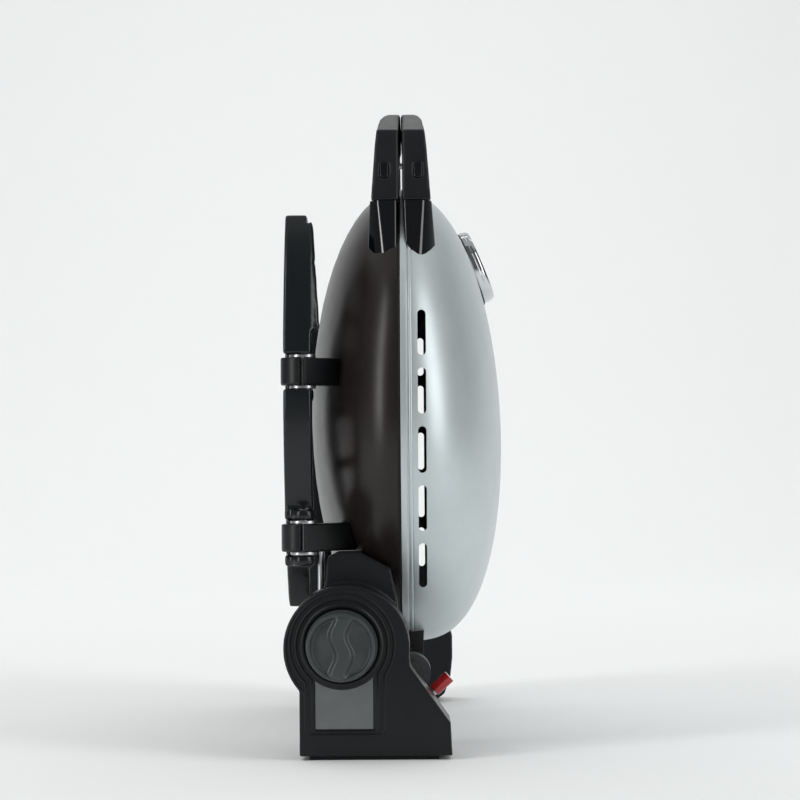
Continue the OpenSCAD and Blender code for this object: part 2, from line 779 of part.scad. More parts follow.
module thermo_probe() color("#a9acae") stand() thermo() difference() {
  translate([0, 0, -30]) cylinder(r = 4.5, h = 30 + flange_t + plate_t - 0.1);
  cylinder(r = 1.2, h = 20);
}

module thermo_nut() color("#8d9092") stand() thermo() difference() {
  translate([0, 0, -8.4]) cylinder(r = 9, h = 5, $fn = 6);
  translate([0, 0, -20]) cylinder(r = 4.55, h = 20);
}

// ---- legs ----
module leg_plan(d) {
  intersection() {
    translate([leg_cx, leg_cy]) circle(r = leg_r - d, $fn = 180);
    translate([-leg_out - 5, leg_mid - leg_l / 2 + d]) square([leg_out + 5 - leg_in - d, leg_l - 2 * d]);
  }
}

module leg_body() difference() {
  union() {
    translate([0, 0, leg_bottom]) linear_extrude(height = web_top - leg_bottom) difference() {
      leg_plan(0);
      leg_plan(leg_bar);
    }
    translate([0, 0, leg_bottom]) linear_extrude(height = leg_top - leg_bottom) difference() {
      leg_plan(0);
      leg_plan(leg_bar);
      translate([-leg_in - leg_w / 2 + 8, -half_w]) square([leg_w, 2 * half_w]);
    }
    translate([0, 0, leg_bottom]) linear_extrude(height = 9) intersection() {
      leg_plan(2);
      union() {
        for (i = [0:slat_n - 1])
          translate([-leg_out, leg_mid - leg_l / 2 + leg_l * (i + 0.5) / slat_n - 5]) square([leg_w, 10]);
      }
    }
    for (y = pivots) {
      translate([0, 0, leg_bottom]) linear_extrude(height = web_top - leg_bottom)
        intersection() {
          leg_plan(0);
          translate([-pivot_x + cap_r, y - 25]) square([12, 50]);
        }
      for (s = [-1, 1]) {
        y0 = y + s * (bracket_w / 2 + washer_t + joint_gap + ear_w / 2) - ear_w / 2;
        rod_y(y0, y0 + ear_w, -pivot_x, pivot_z, 8.2);
        box(-pivot_x, -leg_in - leg_w / 3 - 2, y0, y0 + ear_w, leg_bottom, pivot_z + 2);
      }
    }
    gusset();
  }
  for (y = pivots) {
    box(-half_w, -pivot_x + cap_r + 1.6, y - notch_w / 2, y + notch_w / 2, leg_bottom - 5, 0);
    pivot_bore(y, leg_pin_r + 0.02);
  }
}

// Ribbed wedge that rises along the top of the curved edge
module gusset() {
  y1 = leg_cy + 128;
  y0 = leg_cy + 46;
  intersection() {
    translate([0, 0, leg_top - 1]) linear_extrude(height = 9) difference() {
      leg_plan(2);
      leg_plan(8);
      translate([-leg_in - leg_w / 3, -half_w]) square([leg_w, 2 * half_w]);
    }
    difference() {
      along_x(-half_w, 0) polygon([[y1, leg_top - 1], [y1, leg_top], [y0, leg_top + 6], [y0, leg_top - 1]]);
      for (k = [0:2]) box(-half_w, 0, y0 + 6 + 21.7 * k, y0 + 8 + 21.7 * k, leg_top, leg_top + 9);
    }
  }
}

module leg_pins_near() for (y = pivots) {
  reach = notch_w / 2 + ear_w;
  rod_y(y - reach, y + reach, -pivot_x, pivot_z, leg_pin_r);
}

module leg_washers_near() for (y = pivots) for (s = [-1, 1]) difference() {
  y0 = y + s * (bracket_w / 2 + joint_gap / 2 + washer_t / 2) - washer_t / 2;
  rod_y(y0, y0 + washer_t, -pivot_x, pivot_z, washer_r);
  pivot_bore(y, leg_pin_r + 0.02);
}

module near_leg() color("#171717") stand() leg_body();
module near_leg_pins() color("#aeb1b3") stand() leg_pins_near();
module near_leg_washers() color("#b9bcbe") stand() leg_washers_near();
module far_leg() color("#171717") stand() end_for_end() leg_body();
module far_leg_pins() color("#aeb1b3") stand() end_for_end() leg_pins_near();
module far_leg_washers() color("#b9bcbe") stand() end_for_end() leg_washers_near();

// ---- knob ----
module knob_frame() {
  translate([-foot_out - knob_gap, knob_y, knob_z]) rotate([0, -90, 0]) children();
}

// Middle of the knob's waved grip, as a share v of the way from its middle to its top
function wave(v) = 0.095 * knob_r * cos(360 * (v - 0.93) / 1.18);

// Waved grip across the knob's face
module wave_grip(h) {
  grip_w = knob_r * 0.25;
  n = 24;
  linear_extrude(height = h) intersection() {
    circle(r = knob_r - 1.2);
    polygon(concat([for (i = [-n:n]) [wave(i / n) + grip_w, knob_r * i / n]],
      [for (i = [n:-1:-n]) [wave(i / n) - grip_w, knob_r * i / n]]));
  }
}

module control_knob() color("#3c4440") stand() knob_frame() difference() {
  union() {
    rotate_extrude() polygon([[0, 0], [skirt_r, 0], [skirt_r, 3], [knob_r, 4.5],
      [knob_r - 0.6, knob_h - 7], [knob_r - 1.6, knob_h - 6], [0, knob_h - 6]]);
    translate([0, 0, knob_h - 6.5]) wave_grip(6.5);
  }
  translate([0, 0, -1]) difference() {
    cylinder(r = stem_r + 0.02, h = 11);
    translate([stem_r - 1, -5, -1]) cube([5, 10, 14]);
  }
  translate([0, 0, -1]) difference() {
    cylinder(r = knob_r - 3, h = 6);
    cylinder(r = 7, h = 6);
  }
}

module valve_stem() color("#b0b3b5") stand() knob_frame() difference() {
  translate([0, 0, -foot_w / 2 - 6]) cylinder(r = stem_r, h = foot_w / 2 + 16 - 0.2);
  translate([stem_r - 1.03, -5, -3]) cube([5, 10, 20]);
}

module push_collar() color("#c0a25a") stand() knob_frame() translate([0, 0, -knob_gap - 9]) difference() {
  cylinder(r = stem_r + 3, h = 3);
  translate([0, 0, -1]) cylinder(r = stem_r + run_gap, h = 6);
}

base_shell();
rim_seal();
base_handle_half();
base_handle_mounts();
base_screw_plugs();
latch_catch();
base_hinge_brackets();
hinge_pins();
leg_brackets();
leg_pivot_caps();
near_foot_frame();
control_housing();
knob_bezel();
blank_plate();
far_foot_frame();
far_foot_cover();
foot_pads();
housing_screws();
stay_rods();
valve_body();
gas_pipe();
orifice_fitting();
regulator_body();
inlet_fitting();
venturi_tube();
burner_tube();
burner_brackets();
heat_plate();
igniter_electrode();
grease_tray();
grate_rests();
cooking_grate();
lid_shell();
lid_handle_half();
lid_handle_mounts();
lid_screw_plugs();
lid_hinge_arms();
thermo_flange();
thermo_bezel();
thermo_dial();
thermo_lens();
thermo_probe();
thermo_nut();
thermo_needle();
latch_lever();
near_leg();
near_leg_pins();
near_leg_washers();
far_leg();
far_leg_pins();
far_leg_washers();
control_knob();
valve_stem();
push_collar();
inlet_cap();
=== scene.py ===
import json
import math

import bmesh
import bpy
from bpy.props import FloatProperty, FloatVectorProperty, PointerProperty
from mathutils import Matrix, Vector

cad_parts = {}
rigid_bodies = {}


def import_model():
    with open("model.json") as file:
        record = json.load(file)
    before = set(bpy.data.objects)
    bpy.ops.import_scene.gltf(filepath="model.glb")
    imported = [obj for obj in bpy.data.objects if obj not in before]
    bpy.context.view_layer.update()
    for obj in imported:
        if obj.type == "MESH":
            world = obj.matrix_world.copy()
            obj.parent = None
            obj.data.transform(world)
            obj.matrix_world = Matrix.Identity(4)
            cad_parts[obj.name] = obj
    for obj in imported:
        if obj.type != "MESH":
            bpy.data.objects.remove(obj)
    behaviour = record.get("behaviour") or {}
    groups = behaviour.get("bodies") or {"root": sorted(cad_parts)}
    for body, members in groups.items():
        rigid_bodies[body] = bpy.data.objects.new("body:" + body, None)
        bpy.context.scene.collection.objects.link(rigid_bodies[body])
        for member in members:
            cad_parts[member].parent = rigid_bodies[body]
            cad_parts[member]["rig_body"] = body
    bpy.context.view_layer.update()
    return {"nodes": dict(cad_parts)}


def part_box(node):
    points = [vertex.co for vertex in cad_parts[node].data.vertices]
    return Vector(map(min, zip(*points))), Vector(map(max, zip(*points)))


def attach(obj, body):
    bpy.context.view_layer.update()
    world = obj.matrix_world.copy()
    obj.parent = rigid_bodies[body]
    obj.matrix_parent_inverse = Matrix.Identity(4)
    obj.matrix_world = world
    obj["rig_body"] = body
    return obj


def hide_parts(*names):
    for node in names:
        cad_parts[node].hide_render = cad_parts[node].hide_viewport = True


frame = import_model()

bl_info = {
    "name": "Tabletop gas grill, standing folded",
    "version": (1, 0, 0),
    "blender": (4, 5, 0),
    "location": "View3D > Sidebar > Grill",
    "description": "Dresses the packed grill with its finishes, eased edges and fine parts",
    "category": "Object",
}

NODES = frame["nodes"]

# ---- places, all from the frame ----
MM = 0.001
LID_LO, LID_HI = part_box("lid_shell")
BOWL_LO, BOWL_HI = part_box("base_shell")
ROUND_R = (BOWL_HI.z - BOWL_LO.z) / 2
HALF_W = (BOWL_HI.y - BOWL_LO.y) / 2
HALF_MID = HALF_W - ROUND_R
MID_Y = (BOWL_HI.y + BOWL_LO.y) / 2
MID_Z = (BOWL_HI.z + BOWL_LO.z) / 2
LID_GAP = 0.3 * MM  # underside of the lid's rim above the rim's own plane
RIM_X = LID_LO.x - LID_GAP
BEZEL_LO, BEZEL_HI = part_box("thermo_bezel")
KNOB_LO, KNOB_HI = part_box("control_knob")
ARM_LO, ARM_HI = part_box("lid_hinge_arms")


def at(x, y, z):
    """A point of the grill in its cooking position, in metres, as a point of the standing frame."""
    return Vector((RIM_X + z, MID_Y + x, MID_Z + y))


# ---- finishes ----
# colour, wear colour, roughness range, metallic, coat, specular level, mottling (scale, amount),
# grain (kind, scale, height in mm), wear amount
FINISHES = {
    "lid_paint": dict(colour=(0.60, 0.665, 0.675), wear=(0.70, 0.75, 0.76), rough=(0.36, 0.44),
                      metal=0.55, coat=0.1, mottle=(26, 0.035), grain=("peel", 700, 0.012),
                      worn=0.25),
    "base_paint": dict(colour=(0.019, 0.0145, 0.0135), wear=(0.08, 0.07, 0.062), rough=(0.28, 0.36),
                       metal=0.3, specular=0.45, mottle=(22, 0.12), grain=("peel", 620, 0.016),
                       worn=0.3),
    "seal": dict(colour=(0.008, 0.008, 0.008), wear=(0.03, 0.03, 0.03), rough=(0.75, 0.88),
                 mottle=(60, 0.15), grain=("grain", 900, 0.02), worn=0.2),
    "handle_plastic": dict(colour=(0.0105, 0.0115, 0.0125), wear=(0.05, 0.052, 0.055),
                           rough=(0.32, 0.42), specular=0.36, mottle=(40, 0.12),
                           grain=("grain", 1500, 0.025), worn=0.25),
    "gloss_plastic": dict(colour=(0.002, 0.0025, 0.0035), wear=(0.02, 0.02, 0.02),
                          rough=(0.05, 0.09), coat=0.5, specular=0.5, mottle=(30, 0.1),
                          grain=("peel", 240, 0.006), worn=0.15),
    "hinge_black": dict(colour=(0.012, 0.012, 0.012), wear=(0.10, 0.10, 0.10), rough=(0.38, 0.5),
                        metal=0.3, mottle=(50, 0.15), grain=("peel", 800, 0.02), worn=0.45),
    "leg_black": dict(colour=(0.008, 0.0105, 0.012), wear=(0.05, 0.06, 0.065), rough=(0.20, 0.28),
                      specular=0.42, mottle=(24, 0.12), grain=("grain", 1300, 0.018), worn=0.35),
    "housing_black": dict(colour=(0.0085, 0.0095, 0.0105), wear=(0.045, 0.048, 0.05),
                          rough=(0.30, 0.40), specular=0.3, mottle=(30, 0.12),
                          grain=("grain", 1300, 0.022), worn=0.3),
    "knob_grey": dict(colour=(0.038, 0.046, 0.046), wear=(0.13, 0.14, 0.14), rough=(0.34, 0.44),
                      coat=0.1, mottle=(60, 0.1), grain=("grain", 1600, 0.016), worn=0.5),
    "plate": dict(colour=(0.14, 0.15, 0.152), wear=(0.12, 0.12, 0.12), rough=(0.40, 0.5),
                  mottle=(60, 0.1), grain=("peel", 500, 0.008), worn=0.3),
    "steel": dict(colour=(0.56, 0.57, 0.58), wear=(0.75, 0.76, 0.77), rough=(0.26, 0.38),
                  metal=1.0, mottle=(70, 0.08), grain=("brushed", 260, 0.012), worn=0.4),
    "hot_steel": dict(colour=(0.34, 0.31, 0.28), wear=(0.5, 0.47, 0.44), rough=(0.38, 0.55),
                      metal=0.95, mottle=(34, 0.3), grain=("brushed", 200, 0.02), worn=0.3),
    "brass": dict(colour=(0.52, 0.38, 0.16), wear=(0.72, 0.58, 0.30), rough=(0.28, 0.4),
                  metal=1.0, mottle=(80, 0.12), grain=("peel", 700, 0.015), worn=0.4),
    "regulator": dict(colour=(0.085, 0.087, 0.09), wear=(0.26, 0.26, 0.27), rough=(0.45, 0.6),
                      metal=0.6, mottle=(90, 0.2), grain=("cast", 500, 0.06), worn=0.4),
    "grate_iron": dict(colour=(0.018, 0.018, 0.018), wear=(0.07, 0.065, 0.06), rough=(0.42, 0.62),
                       metal=0.35, mottle=(60, 0.2), grain=("cast", 420, 0.09), worn=0.4),
    "ceramic": dict(colour=(0.74, 0.71, 0.64), wear=(0.8, 0.78, 0.72), rough=(0.25, 0.38),
                    mottle=(90, 0.08), grain=("peel", 400, 0.01), worn=0.1),
    "chrome": dict(colour=(0.66, 0.68, 0.70), wear=(0.88, 0.88, 0.89), rough=(0.05, 0.09),
                   metal=1.0, mottle=(40, 0.02), grain=("peel", 160, 0.003), worn=0.1),
    "flange": dict(colour=(0.018, 0.018, 0.018), wear=(0.08, 0.08, 0.08), rough=(0.38, 0.5),
                   mottle=(60, 0.1), grain=("grain", 1200, 0.015), worn=0.2),
    "dial": dict(colour=(0.78, 0.77, 0.73), wear=(0.82, 0.81, 0.78), rough=(0.38, 0.48),
                 mottle=(50, 0.04), grain=("grain", 900, 0.004), worn=0.0),
    "needle_red": dict(colour=(0.50, 0.035, 0.02), wear=(0.62, 0.1, 0.07), rough=(0.3, 0.4),
                       mottle=(80, 0.06), grain=("grain", 900, 0.003), worn=0.1),
    "cap_red": dict(colour=(0.48, 0.010, 0.012), wear=(0.66, 0.06, 0.05), rough=(0.10, 0.18),
                    coat=0.6, mottle=(60, 0.06), grain=("peel", 300, 0.006), worn=0.15),
}


WEAR_FROM, WEAR_FULL = 0.54, 0.66    # how sharp an edge is where wear starts, and where it is full


def spec_of(slot, settings):
    """The finish of one slot, with the paints taken from the user's colours."""
    spec = dict(FINISHES[slot])
    for paint in ("lid_paint", "base_paint", "cap_red"):
        if slot == paint:
            spec["colour"] = tuple(getattr(settings, paint))
    return spec


def add_node(tree, kind, **inputs):
    """A shader node with some of its inputs set."""
    made = tree.nodes.new(kind)
    for key, value in inputs.items():
        made.inputs[key.replace("_", " ")].default_value = value
    return made


def scaled(colour, share):
    return tuple(min(1.0, max(0.0, c * share)) for c in colour) + (1.0,)


def grain_height(tree, coords, kind, scale):
    """The height field of a fine grain: paint peel, moulded grain, brushing or casting."""
    link = tree.links.new
    if kind == "brushed":
        stretch = tree.nodes.new("ShaderNodeMapping")
        stretch.inputs["Scale"].default_value = (6.0, 0.35, 6.0)
        link(coords, stretch.inputs["Vector"])
        coords = stretch.outputs["Vector"]
    detail = {"peel": 1.0, "grain": 3.0, "brushed": 4.0, "cast": 5.0}[kind]
    noise = add_node(tree, "ShaderNodeTexNoise", Scale=scale, Detail=detail, Roughness=0.55)
    link(coords, noise.inputs["Vector"])
    if kind != "cast":
        return noise.outputs["Fac"]
    pits = add_node(tree, "ShaderNodeTexVoronoi", Scale=scale * 0.8)
    link(coords, pits.inputs["Vector"])
    both = tree.nodes.new("ShaderNodeMath")
    both.operation = "MULTIPLY"
    link(noise.outputs["Fac"], both.inputs[0])
    link(pits.outputs["Distance"], both.inputs[1])
    return both.outputs[0]


def finish_for(slot):
    """The node material of a slot: mottled colour, worn edges, uneven gloss and fine grain."""
    name = slot + "_finish"
    if name in bpy.data.materials:
        return bpy.data.materials[name]
    spec = spec_of(slot, bpy.context.scene.grill_finish)
    material = bpy.data.materials.new(name)
    material.use_nodes = True
    tree = material.node_tree
    link = tree.links.new
    shader = tree.nodes["Principled BSDF"]
    coords = tree.nodes.new("ShaderNodeTexCoord").outputs["Object"]

    scale, amount = spec["mottle"]
    clouds = add_node(tree, "ShaderNodeTexNoise", Scale=scale, Detail=4.0, Roughness=0.6)
    link(coords, clouds.inputs["Vector"])
    tint = tree.nodes.new("ShaderNodeValToRGB")
    tint.color_ramp.elements[0].position = 0.3
    tint.color_ramp.elements[1].position = 0.7
    tint.color_ramp.elements[0].color = scaled(spec["colour"], 1 - amount)
    tint.color_ramp.elements[1].color = scaled(spec["colour"], 1 + amount)
    link(clouds.outputs["Fac"], tint.inputs["Fac"])

    edge = tree.nodes.new("ShaderNodeNewGeometry")
    worn = tree.nodes.new("ShaderNodeMapRange")
    worn.inputs["From Min"].default_value = WEAR_FROM
    worn.inputs["From Max"].default_value = WEAR_FULL
    worn.inputs["To Max"].default_value = spec["worn"]
    link(edge.outputs["Pointiness"], worn.inputs["Value"])
    mix = tree.nodes.new("ShaderNodeMix")
    mix.data_type = "RGBA"
    mix.inputs["B"].default_value = scaled(spec["wear"], 1)
    link(worn.outputs["Result"], mix.inputs["Factor"])
    link(tint.outputs["Color"], mix.inputs["A"])
    link(mix.outputs["Result"], shader.inputs["Base Color"])

    smudge = add_node(tree, "ShaderNodeTexNoise", Scale=scale * 2.3, Detail=3.0, Roughness=0.5)
    link(coords, smudge.inputs["Vector"])
    gloss = tree.nodes.new("ShaderNodeMapRange")
    gloss.inputs["To Min"].default_value, gloss.inputs["To Max"].default_value = spec["rough"]
    link(smudge.outputs["Fac"], gloss.inputs["Value"])
    link(gloss.outputs["Result"], shader.inputs["Roughness"])

    kind, grain_scale, height = spec["grain"]
    bump = tree.nodes.new("ShaderNodeBump")
    bump.inputs["Strength"].default_value = 1.0
    bump.inputs["Distance"].default_value = height * MM
    link(grain_height(tree, coords, kind, grain_scale), bump.inputs["Height"])
    link(bump.outputs["Normal"], shader.inputs["Normal"])

    shader.inputs["Metallic"].default_value = spec.get("metal", 0.0)
    shader.inputs["Specular IOR Level"].default_value = spec.get("specular", 0.5)
    shader.inputs["Coat Weight"].default_value = spec.get("coat", 0.0)
    shader.inputs["Coat Roughness"].default_value = 0.12
    return material


def glass_finish():
    """Clear glass of the thermometer, with faint smears."""
    if "lens_finish" in bpy.data.materials:
        return bpy.data.materials["lens_finish"]
    material = bpy.data.materials.new("lens_finish")
    material.use_nodes = True
    tree = material.node_tree
    shader = tree.nodes["Principled BSDF"]
    coords = tree.nodes.new("ShaderNodeTexCoord").outputs["Object"]
    smear = add_node(tree, "ShaderNodeTexNoise", Scale=120.0, Detail=2.0)
    tree.links.new(coords, smear.inputs["Vector"])
    gloss = tree.nodes.new("ShaderNodeMapRange")
    gloss.inputs["To Min"].default_value = 0.01
    gloss.inputs["To Max"].default_value = 0.06
    tree.links.new(smear.outputs["Fac"], gloss.inputs["Value"])
    tree.links.new(gloss.outputs["Result"], shader.inputs["Roughness"])
    shader.inputs["Base Color"].default_value = (0.95, 0.98, 0.98, 1)
    shader.inputs["Transmission Weight"].default_value = 1.0
    shader.inputs["IOR"].default_value = 1.45
    return material


def dress(obj, slot):
    """Gives a piece the finish of one slot, and nothing else."""
    obj.data.materials.clear()
    obj.data.materials.append(glass_finish() if slot == "lens" else finish_for(slot))
    return obj


# ---- shapes ----
def smooth_faces(mesh):
    for face in mesh.polygons:
        face.use_smooth = True


def soften(obj, angle):
    """Smooth shading, kept sharp where faces meet at more than an angle."""
    smooth_faces(obj.data)
    obj.data.set_sharp_from_angle(angle=math.radians(angle))
    return obj


def weld_node(obj):
    """Drops the normals stored with a CAD mesh, and adds a modifier that joins its corners."""
    stored = obj.data.attributes.get("custom_normal")
    if stored:
        obj.data.attributes.remove(stored)
    weld = obj.modifiers.new("Weld", "WELD")
    weld.merge_threshold = 0.004 * MM


def keep_node(name, slot, width, segments=2):
    """A CAD node that keeps its shape: modifiers ease its edges, and it gets its finish."""
    obj = NODES[name]
    dress(obj, slot)
    weld_node(obj)
    smooth_faces(obj.data)
    flat = obj.modifiers.new("Flat faces", "DECIMATE")
    flat.decimate_type = "DISSOLVE"
    flat.angle_limit = math.radians(0.4)
    if width > 0:
        bevel = obj.modifiers.new("Eased edges", "BEVEL")
        bevel.width = width * MM
        bevel.segments = segments
        bevel.limit_method = "ANGLE"
        bevel.angle_limit = math.radians(30)
        bevel.use_clamp_overlap = True
        bevel.harden_normals = False
    even = obj.modifiers.new("Even normals", "WEIGHTED_NORMAL")
    even.keep_sharp = False
    even.weight = 60
    return obj


def baked(obj):
    """The mesh of an object with its modifiers applied, as a new mesh."""
    graph = bpy.context.evaluated_depsgraph_get()
    return bpy.data.meshes.new_from_object(obj.evaluated_get(graph), depsgraph=graph)


def settle(obj, body, slot, replaces=()):
    """Finish of a new piece: its body, its slot, and the nodes that it stands for."""
    dress(obj, slot)
    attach(obj, body)
    if replaces:
        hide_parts(*replaces)
    return obj


def new_piece(name, mesh):
    obj = bpy.data.objects.new(name, mesh)
    bpy.context.scene.collection.objects.link(obj)
    return obj


def moulded(name, node, slot, voxel, passes):
    """A moulded piece in place of a CAD node: the same solid with its corners rounded over."""
    source = NODES[node]
    obj = new_piece(name, source.data.copy())
    weld_node(obj)
    skin = obj.modifiers.new("Skin", "REMESH")
    skin.mode = "VOXEL"
    skin.voxel_size = voxel * MM
    skin.use_smooth_shade = True
    smooth = obj.modifiers.new("Rounding", "SMOOTH")
    smooth.factor = 0.5
    smooth.iterations = passes
    thin = obj.modifiers.new("Thin", "DECIMATE")
    thin.ratio = 0.5
    bpy.context.view_layer.update()
    mesh = baked(obj)
    obj.modifiers.clear()
    obj.data = mesh
    smooth_faces(mesh)
    return settle(obj, source["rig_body"], slot, [node])


def mesh_from(name, verts, faces):
    mesh = bpy.data.meshes.new(name)
    mesh.from_pydata([tuple(v) for v in verts], [], faces)
    mesh.validate()
    mesh.update()
    return mesh


def solid_mesh(name, verts, faces, join=0.0):
    """A mesh whose faces all look outwards, with points nearer than a distance joined."""
    mesh = mesh_from(name, verts, faces)
    form = bmesh.new()
    form.from_mesh(mesh)
    if join:
        bmesh.ops.remove_doubles(form, verts=form.verts, dist=join)
    bmesh.ops.recalc_face_normals(form, faces=form.faces)
    form.to_mesh(mesh)
    form.free()
    return mesh


def form_piece(form, name):
    """A new object from a mesh that has been built up."""
    mesh = bpy.data.meshes.new(name)
    form.to_mesh(mesh)
    form.free()
    return new_piece(name, mesh)


def turned(name, profile, place, steps):
    """A turned solid: a profile of (radius, height) pairs spun round the z axis of a place."""
    verts, faces = [], []
    count = len(profile)
    for i in range(steps):
        a = 2 * math.pi * i / steps
        for r, h in profile:
            verts.append(place @ Vector((r * math.cos(a), r * math.sin(a), h)))
    for i in range(steps):
        for k in range(count):
            j, m = (i + 1) % steps, (k + 1) % count
            faces.append((i * count + k, j * count + k, j * count + m, i * count + m))
    return new_piece(name, solid_mesh(name, verts, faces, 1e-6))


def rounded_profile(points, radius):
    """A closed profile with each of its corners rounded to a radius."""
    out = []
    count, steps = len(points), 4
    for i in range(count):
        before, corner, after = (Vector(points[(i + k) % count]) for k in (-1, 0, 1))
        a, b = (before - corner), (after - corner)
        reach = min(radius, a.length * 0.45, b.length * 0.45)
        start, end = corner + a.normalized() * reach, corner + b.normalized() * reach
        for k in range(steps + 1):
            t = k / steps
            out.append(start * (1 - t) ** 2 + corner * 2 * t * (1 - t) + end * t * t)
    return [tuple(p) for p in out]


# ---- the lid ----
APEX_BACK = 25 * MM      # highest line of the lid, behind the middle
FRONT_FULL, REAR_FULL = 2.1, 3.1   # how full the dome's sides are; 2 is an ellipse
SHEET = 2.2 * MM         # thickness of the sheet
VENT_COUNT, VENT_PITCH = 5, 42 * MM
VENT_L, VENT_W, VENT_Z = 33 * MM, 6 * MM, 15.7 * MM
ROUND_STEPS, STRAIGHT_STEPS = 56, 18
ARM_HALF = 7.5 * MM      # half the width of a hinge arm


def dome_loop(share, z, inset):
    """One level of the dome: a long loop whose middle moves back as the lid rises."""
    front = (ROUND_R + APEX_BACK - inset) * math.sqrt(max(0.0, 1 - share ** FRONT_FULL))
    rear = (ROUND_R - APEX_BACK - inset) * math.sqrt(max(0.0, 1 - share ** REAR_FULL))
    r, yc = (front + rear) / 2, (front - rear) / 2 - APEX_BACK
    loop = []
    for side in (1, -1):
        for i in range(ROUND_STEPS + 1):
            a = math.radians(-90 * side + 180 * side * i / ROUND_STEPS)
            loop.append(at(side * (HALF_MID + r * math.cos(a)), yc + r * math.sin(a), z))
        for i in range(1, STRAIGHT_STEPS):
            x = side * HALF_MID * (1 - 2 * i / STRAIGHT_STEPS)
            loop.append(at(x, yc + side * r, z))
    return loop


def outer_levels(lid_h):
    """Levels of the lid's outside: rim band, groove, bead, then the dome.

    The first ones are pairs in mm: height over the rim's plane, and how far inside the dome's
    outline. Each level that goes out is (share of the lid's height, height, inset), in metres.
    """
    levels = [(0.3, 0.1), (0.32, -0.25), (0.6, -0.52), (1.1, -0.6), (4.4, -0.6), (4.8, -0.5),
              (5.0, -0.15), (5.06, 0.55), (5.3, 0.65), (6.2, 0.65), (6.35, 0.4)]
    for i in range(9):
        a = math.pi * i / 8
        levels.append((7.5 - 1.1 * math.cos(a), 0.25 - 0.6 * math.sin(a)))
    levels += [(8.75, 0.2), (9.1, 0.05)]
    levels = [(z * MM / lid_h, z * MM, d * MM) for z, d in levels]
    first, steps = math.asin(9.6 * MM / lid_h), 46
    for i in range(steps + 1):
        t = math.sin(first + (math.pi / 2 - first) * i / steps)
        levels.append((t, lid_h * t, 0.0))
    return levels


def inner_levels(lid_h):
    """Levels of the lid's inside, from the top down to the rim."""
    steps, height = 30, lid_h - SHEET
    levels = []
    for i in range(steps + 1):
        t = math.sin(math.pi / 2 * (1 - i / steps))
        levels.append((t, max(height * t, LID_GAP), SHEET))
    return levels


def vent_cutters():
    """The slots at both ends of the lid, as one mesh of long round-ended bars."""
    form = bmesh.new()
    for side in (1, -1):
        for k in range(VENT_COUNT):
            y = -APEX_BACK - 2 * MM + (k - (VENT_COUNT - 1) / 2) * VENT_PITCH
            outline = []
            for i in range(26):
                a = math.pi * (i + 0.5) / 13
                end = 1 if i < 13 else -1
                outline.append((y + end * (VENT_L - VENT_W) / 2 + VENT_W / 2 * math.sin(a),
                                VENT_Z + VENT_W / 2 * math.cos(a)))
            near = [form.verts.new(at(side * (HALF_MID + 30 * MM), p[0], p[1])) for p in outline]
            far = [form.verts.new(at(side * (HALF_W + 10 * MM), p[0], p[1])) for p in outline]
            count = len(outline)
            form.faces.new(near)
            form.faces.new(list(reversed(far)))
            for i in range(count):
                j = (i + 1) % count
                form.faces.new((near[j], near[i], far[i], far[j]))
    bmesh.ops.recalc_face_normals(form, faces=form.faces)
    return form_piece(form, "vent_cutters")


def box_form(form, low, high):
    """Adds a box to a mesh that is being made."""
    made = bmesh.ops.create_cube(form, size=1.0)["verts"]
    size, middle = high - low, (high + low) / 2
    for v in made:
        v.co = Vector((v.co.x * size.x, v.co.y * size.y, v.co.z * size.z)) + middle


def cut_away(obj, cutter):
    """Cuts one mesh out of another, and drops the cutter."""
    cut = obj.modifiers.new("Cut", "BOOLEAN")
    cut.operation = "DIFFERENCE"
    cut.solver = "EXACT"
    cut.object = cutter
    bpy.context.view_layer.update()
    mesh = baked(obj)
    obj.modifiers.clear()
    obj.data = mesh
    bpy.data.objects.remove(cutter)


def lid_skin():
    """The lid's sheet: pressed dome with its rim band and bead, vent slots and hinge notches."""
    lid_h = LID_HI.x - RIM_X
    outer, inner = outer_levels(lid_h), inner_levels(lid_h)
    loops = [dome_loop(*level) for level in outer] + [dome_loop(*level) for level in inner]
    count = len(loops[0])
    verts = [v for loop in loops for v in loop]
    faces = []
    total = len(loops)
    for k in range(total):
        if k == len(outer) - 1:
            continue
        a, b = k * count, ((k + 1) % total) * count
        for i in range(count):
            j = (i + 1) % count
            faces.append((a + i, a + j, b + j, b + i))
    lid = new_piece("lid_skin", solid_mesh("lid_skin", verts, faces, 2e-6))
    cut_away(lid, vent_cutters())
    form = bmesh.new()
    spare = 0.3 * MM
    hinge_mid = (ARM_HI.y - MID_Y) - ARM_HALF
    for side in (1, -1):
        middle = MID_Y + side * hinge_mid
        low = Vector((RIM_X - 2 * MM, middle - ARM_HALF - spare, ARM_LO.z - 6 * MM))
        high = Vector((ARM_HI.x + spare, middle + ARM_HALF + spare, ARM_HI.z + spare))
        box_form(form, low, high)
    cut_away(lid, form_piece(form, "notches"))
    return soften(lid, 28)


# ---- the knob and the bead round it ----
KNOB_Y, KNOB_Z = (KNOB_LO.z + KNOB_HI.z) / 2, (KNOB_LO.x + KNOB_HI.x) / 2
KNOB_RIM = (KNOB_HI.z - KNOB_LO.z) / 2
# Shares of the face's radius: how the grip waves, half its width, half the width of its sides,
# and where the rim of the face begins and how soon it is level.
WAVE_REACH, WAVE_LENGTH, WAVE_START = 0.095, 1.18, 0.93
GRIP_HALF, GRIP_SIDE = 0.25, 0.09
FACE_RIM, FACE_RIM_W = 0.86, 0.1
DISH, FACE_RIM_DROP = 4.2 * MM, 0.5 * MM
KNOB_STEPS, KNOB_RINGS = 120, 56


def smooth_step(t):
    t = max(0.0, min(1.0, t))
    return t * t * (3 - 2 * t)


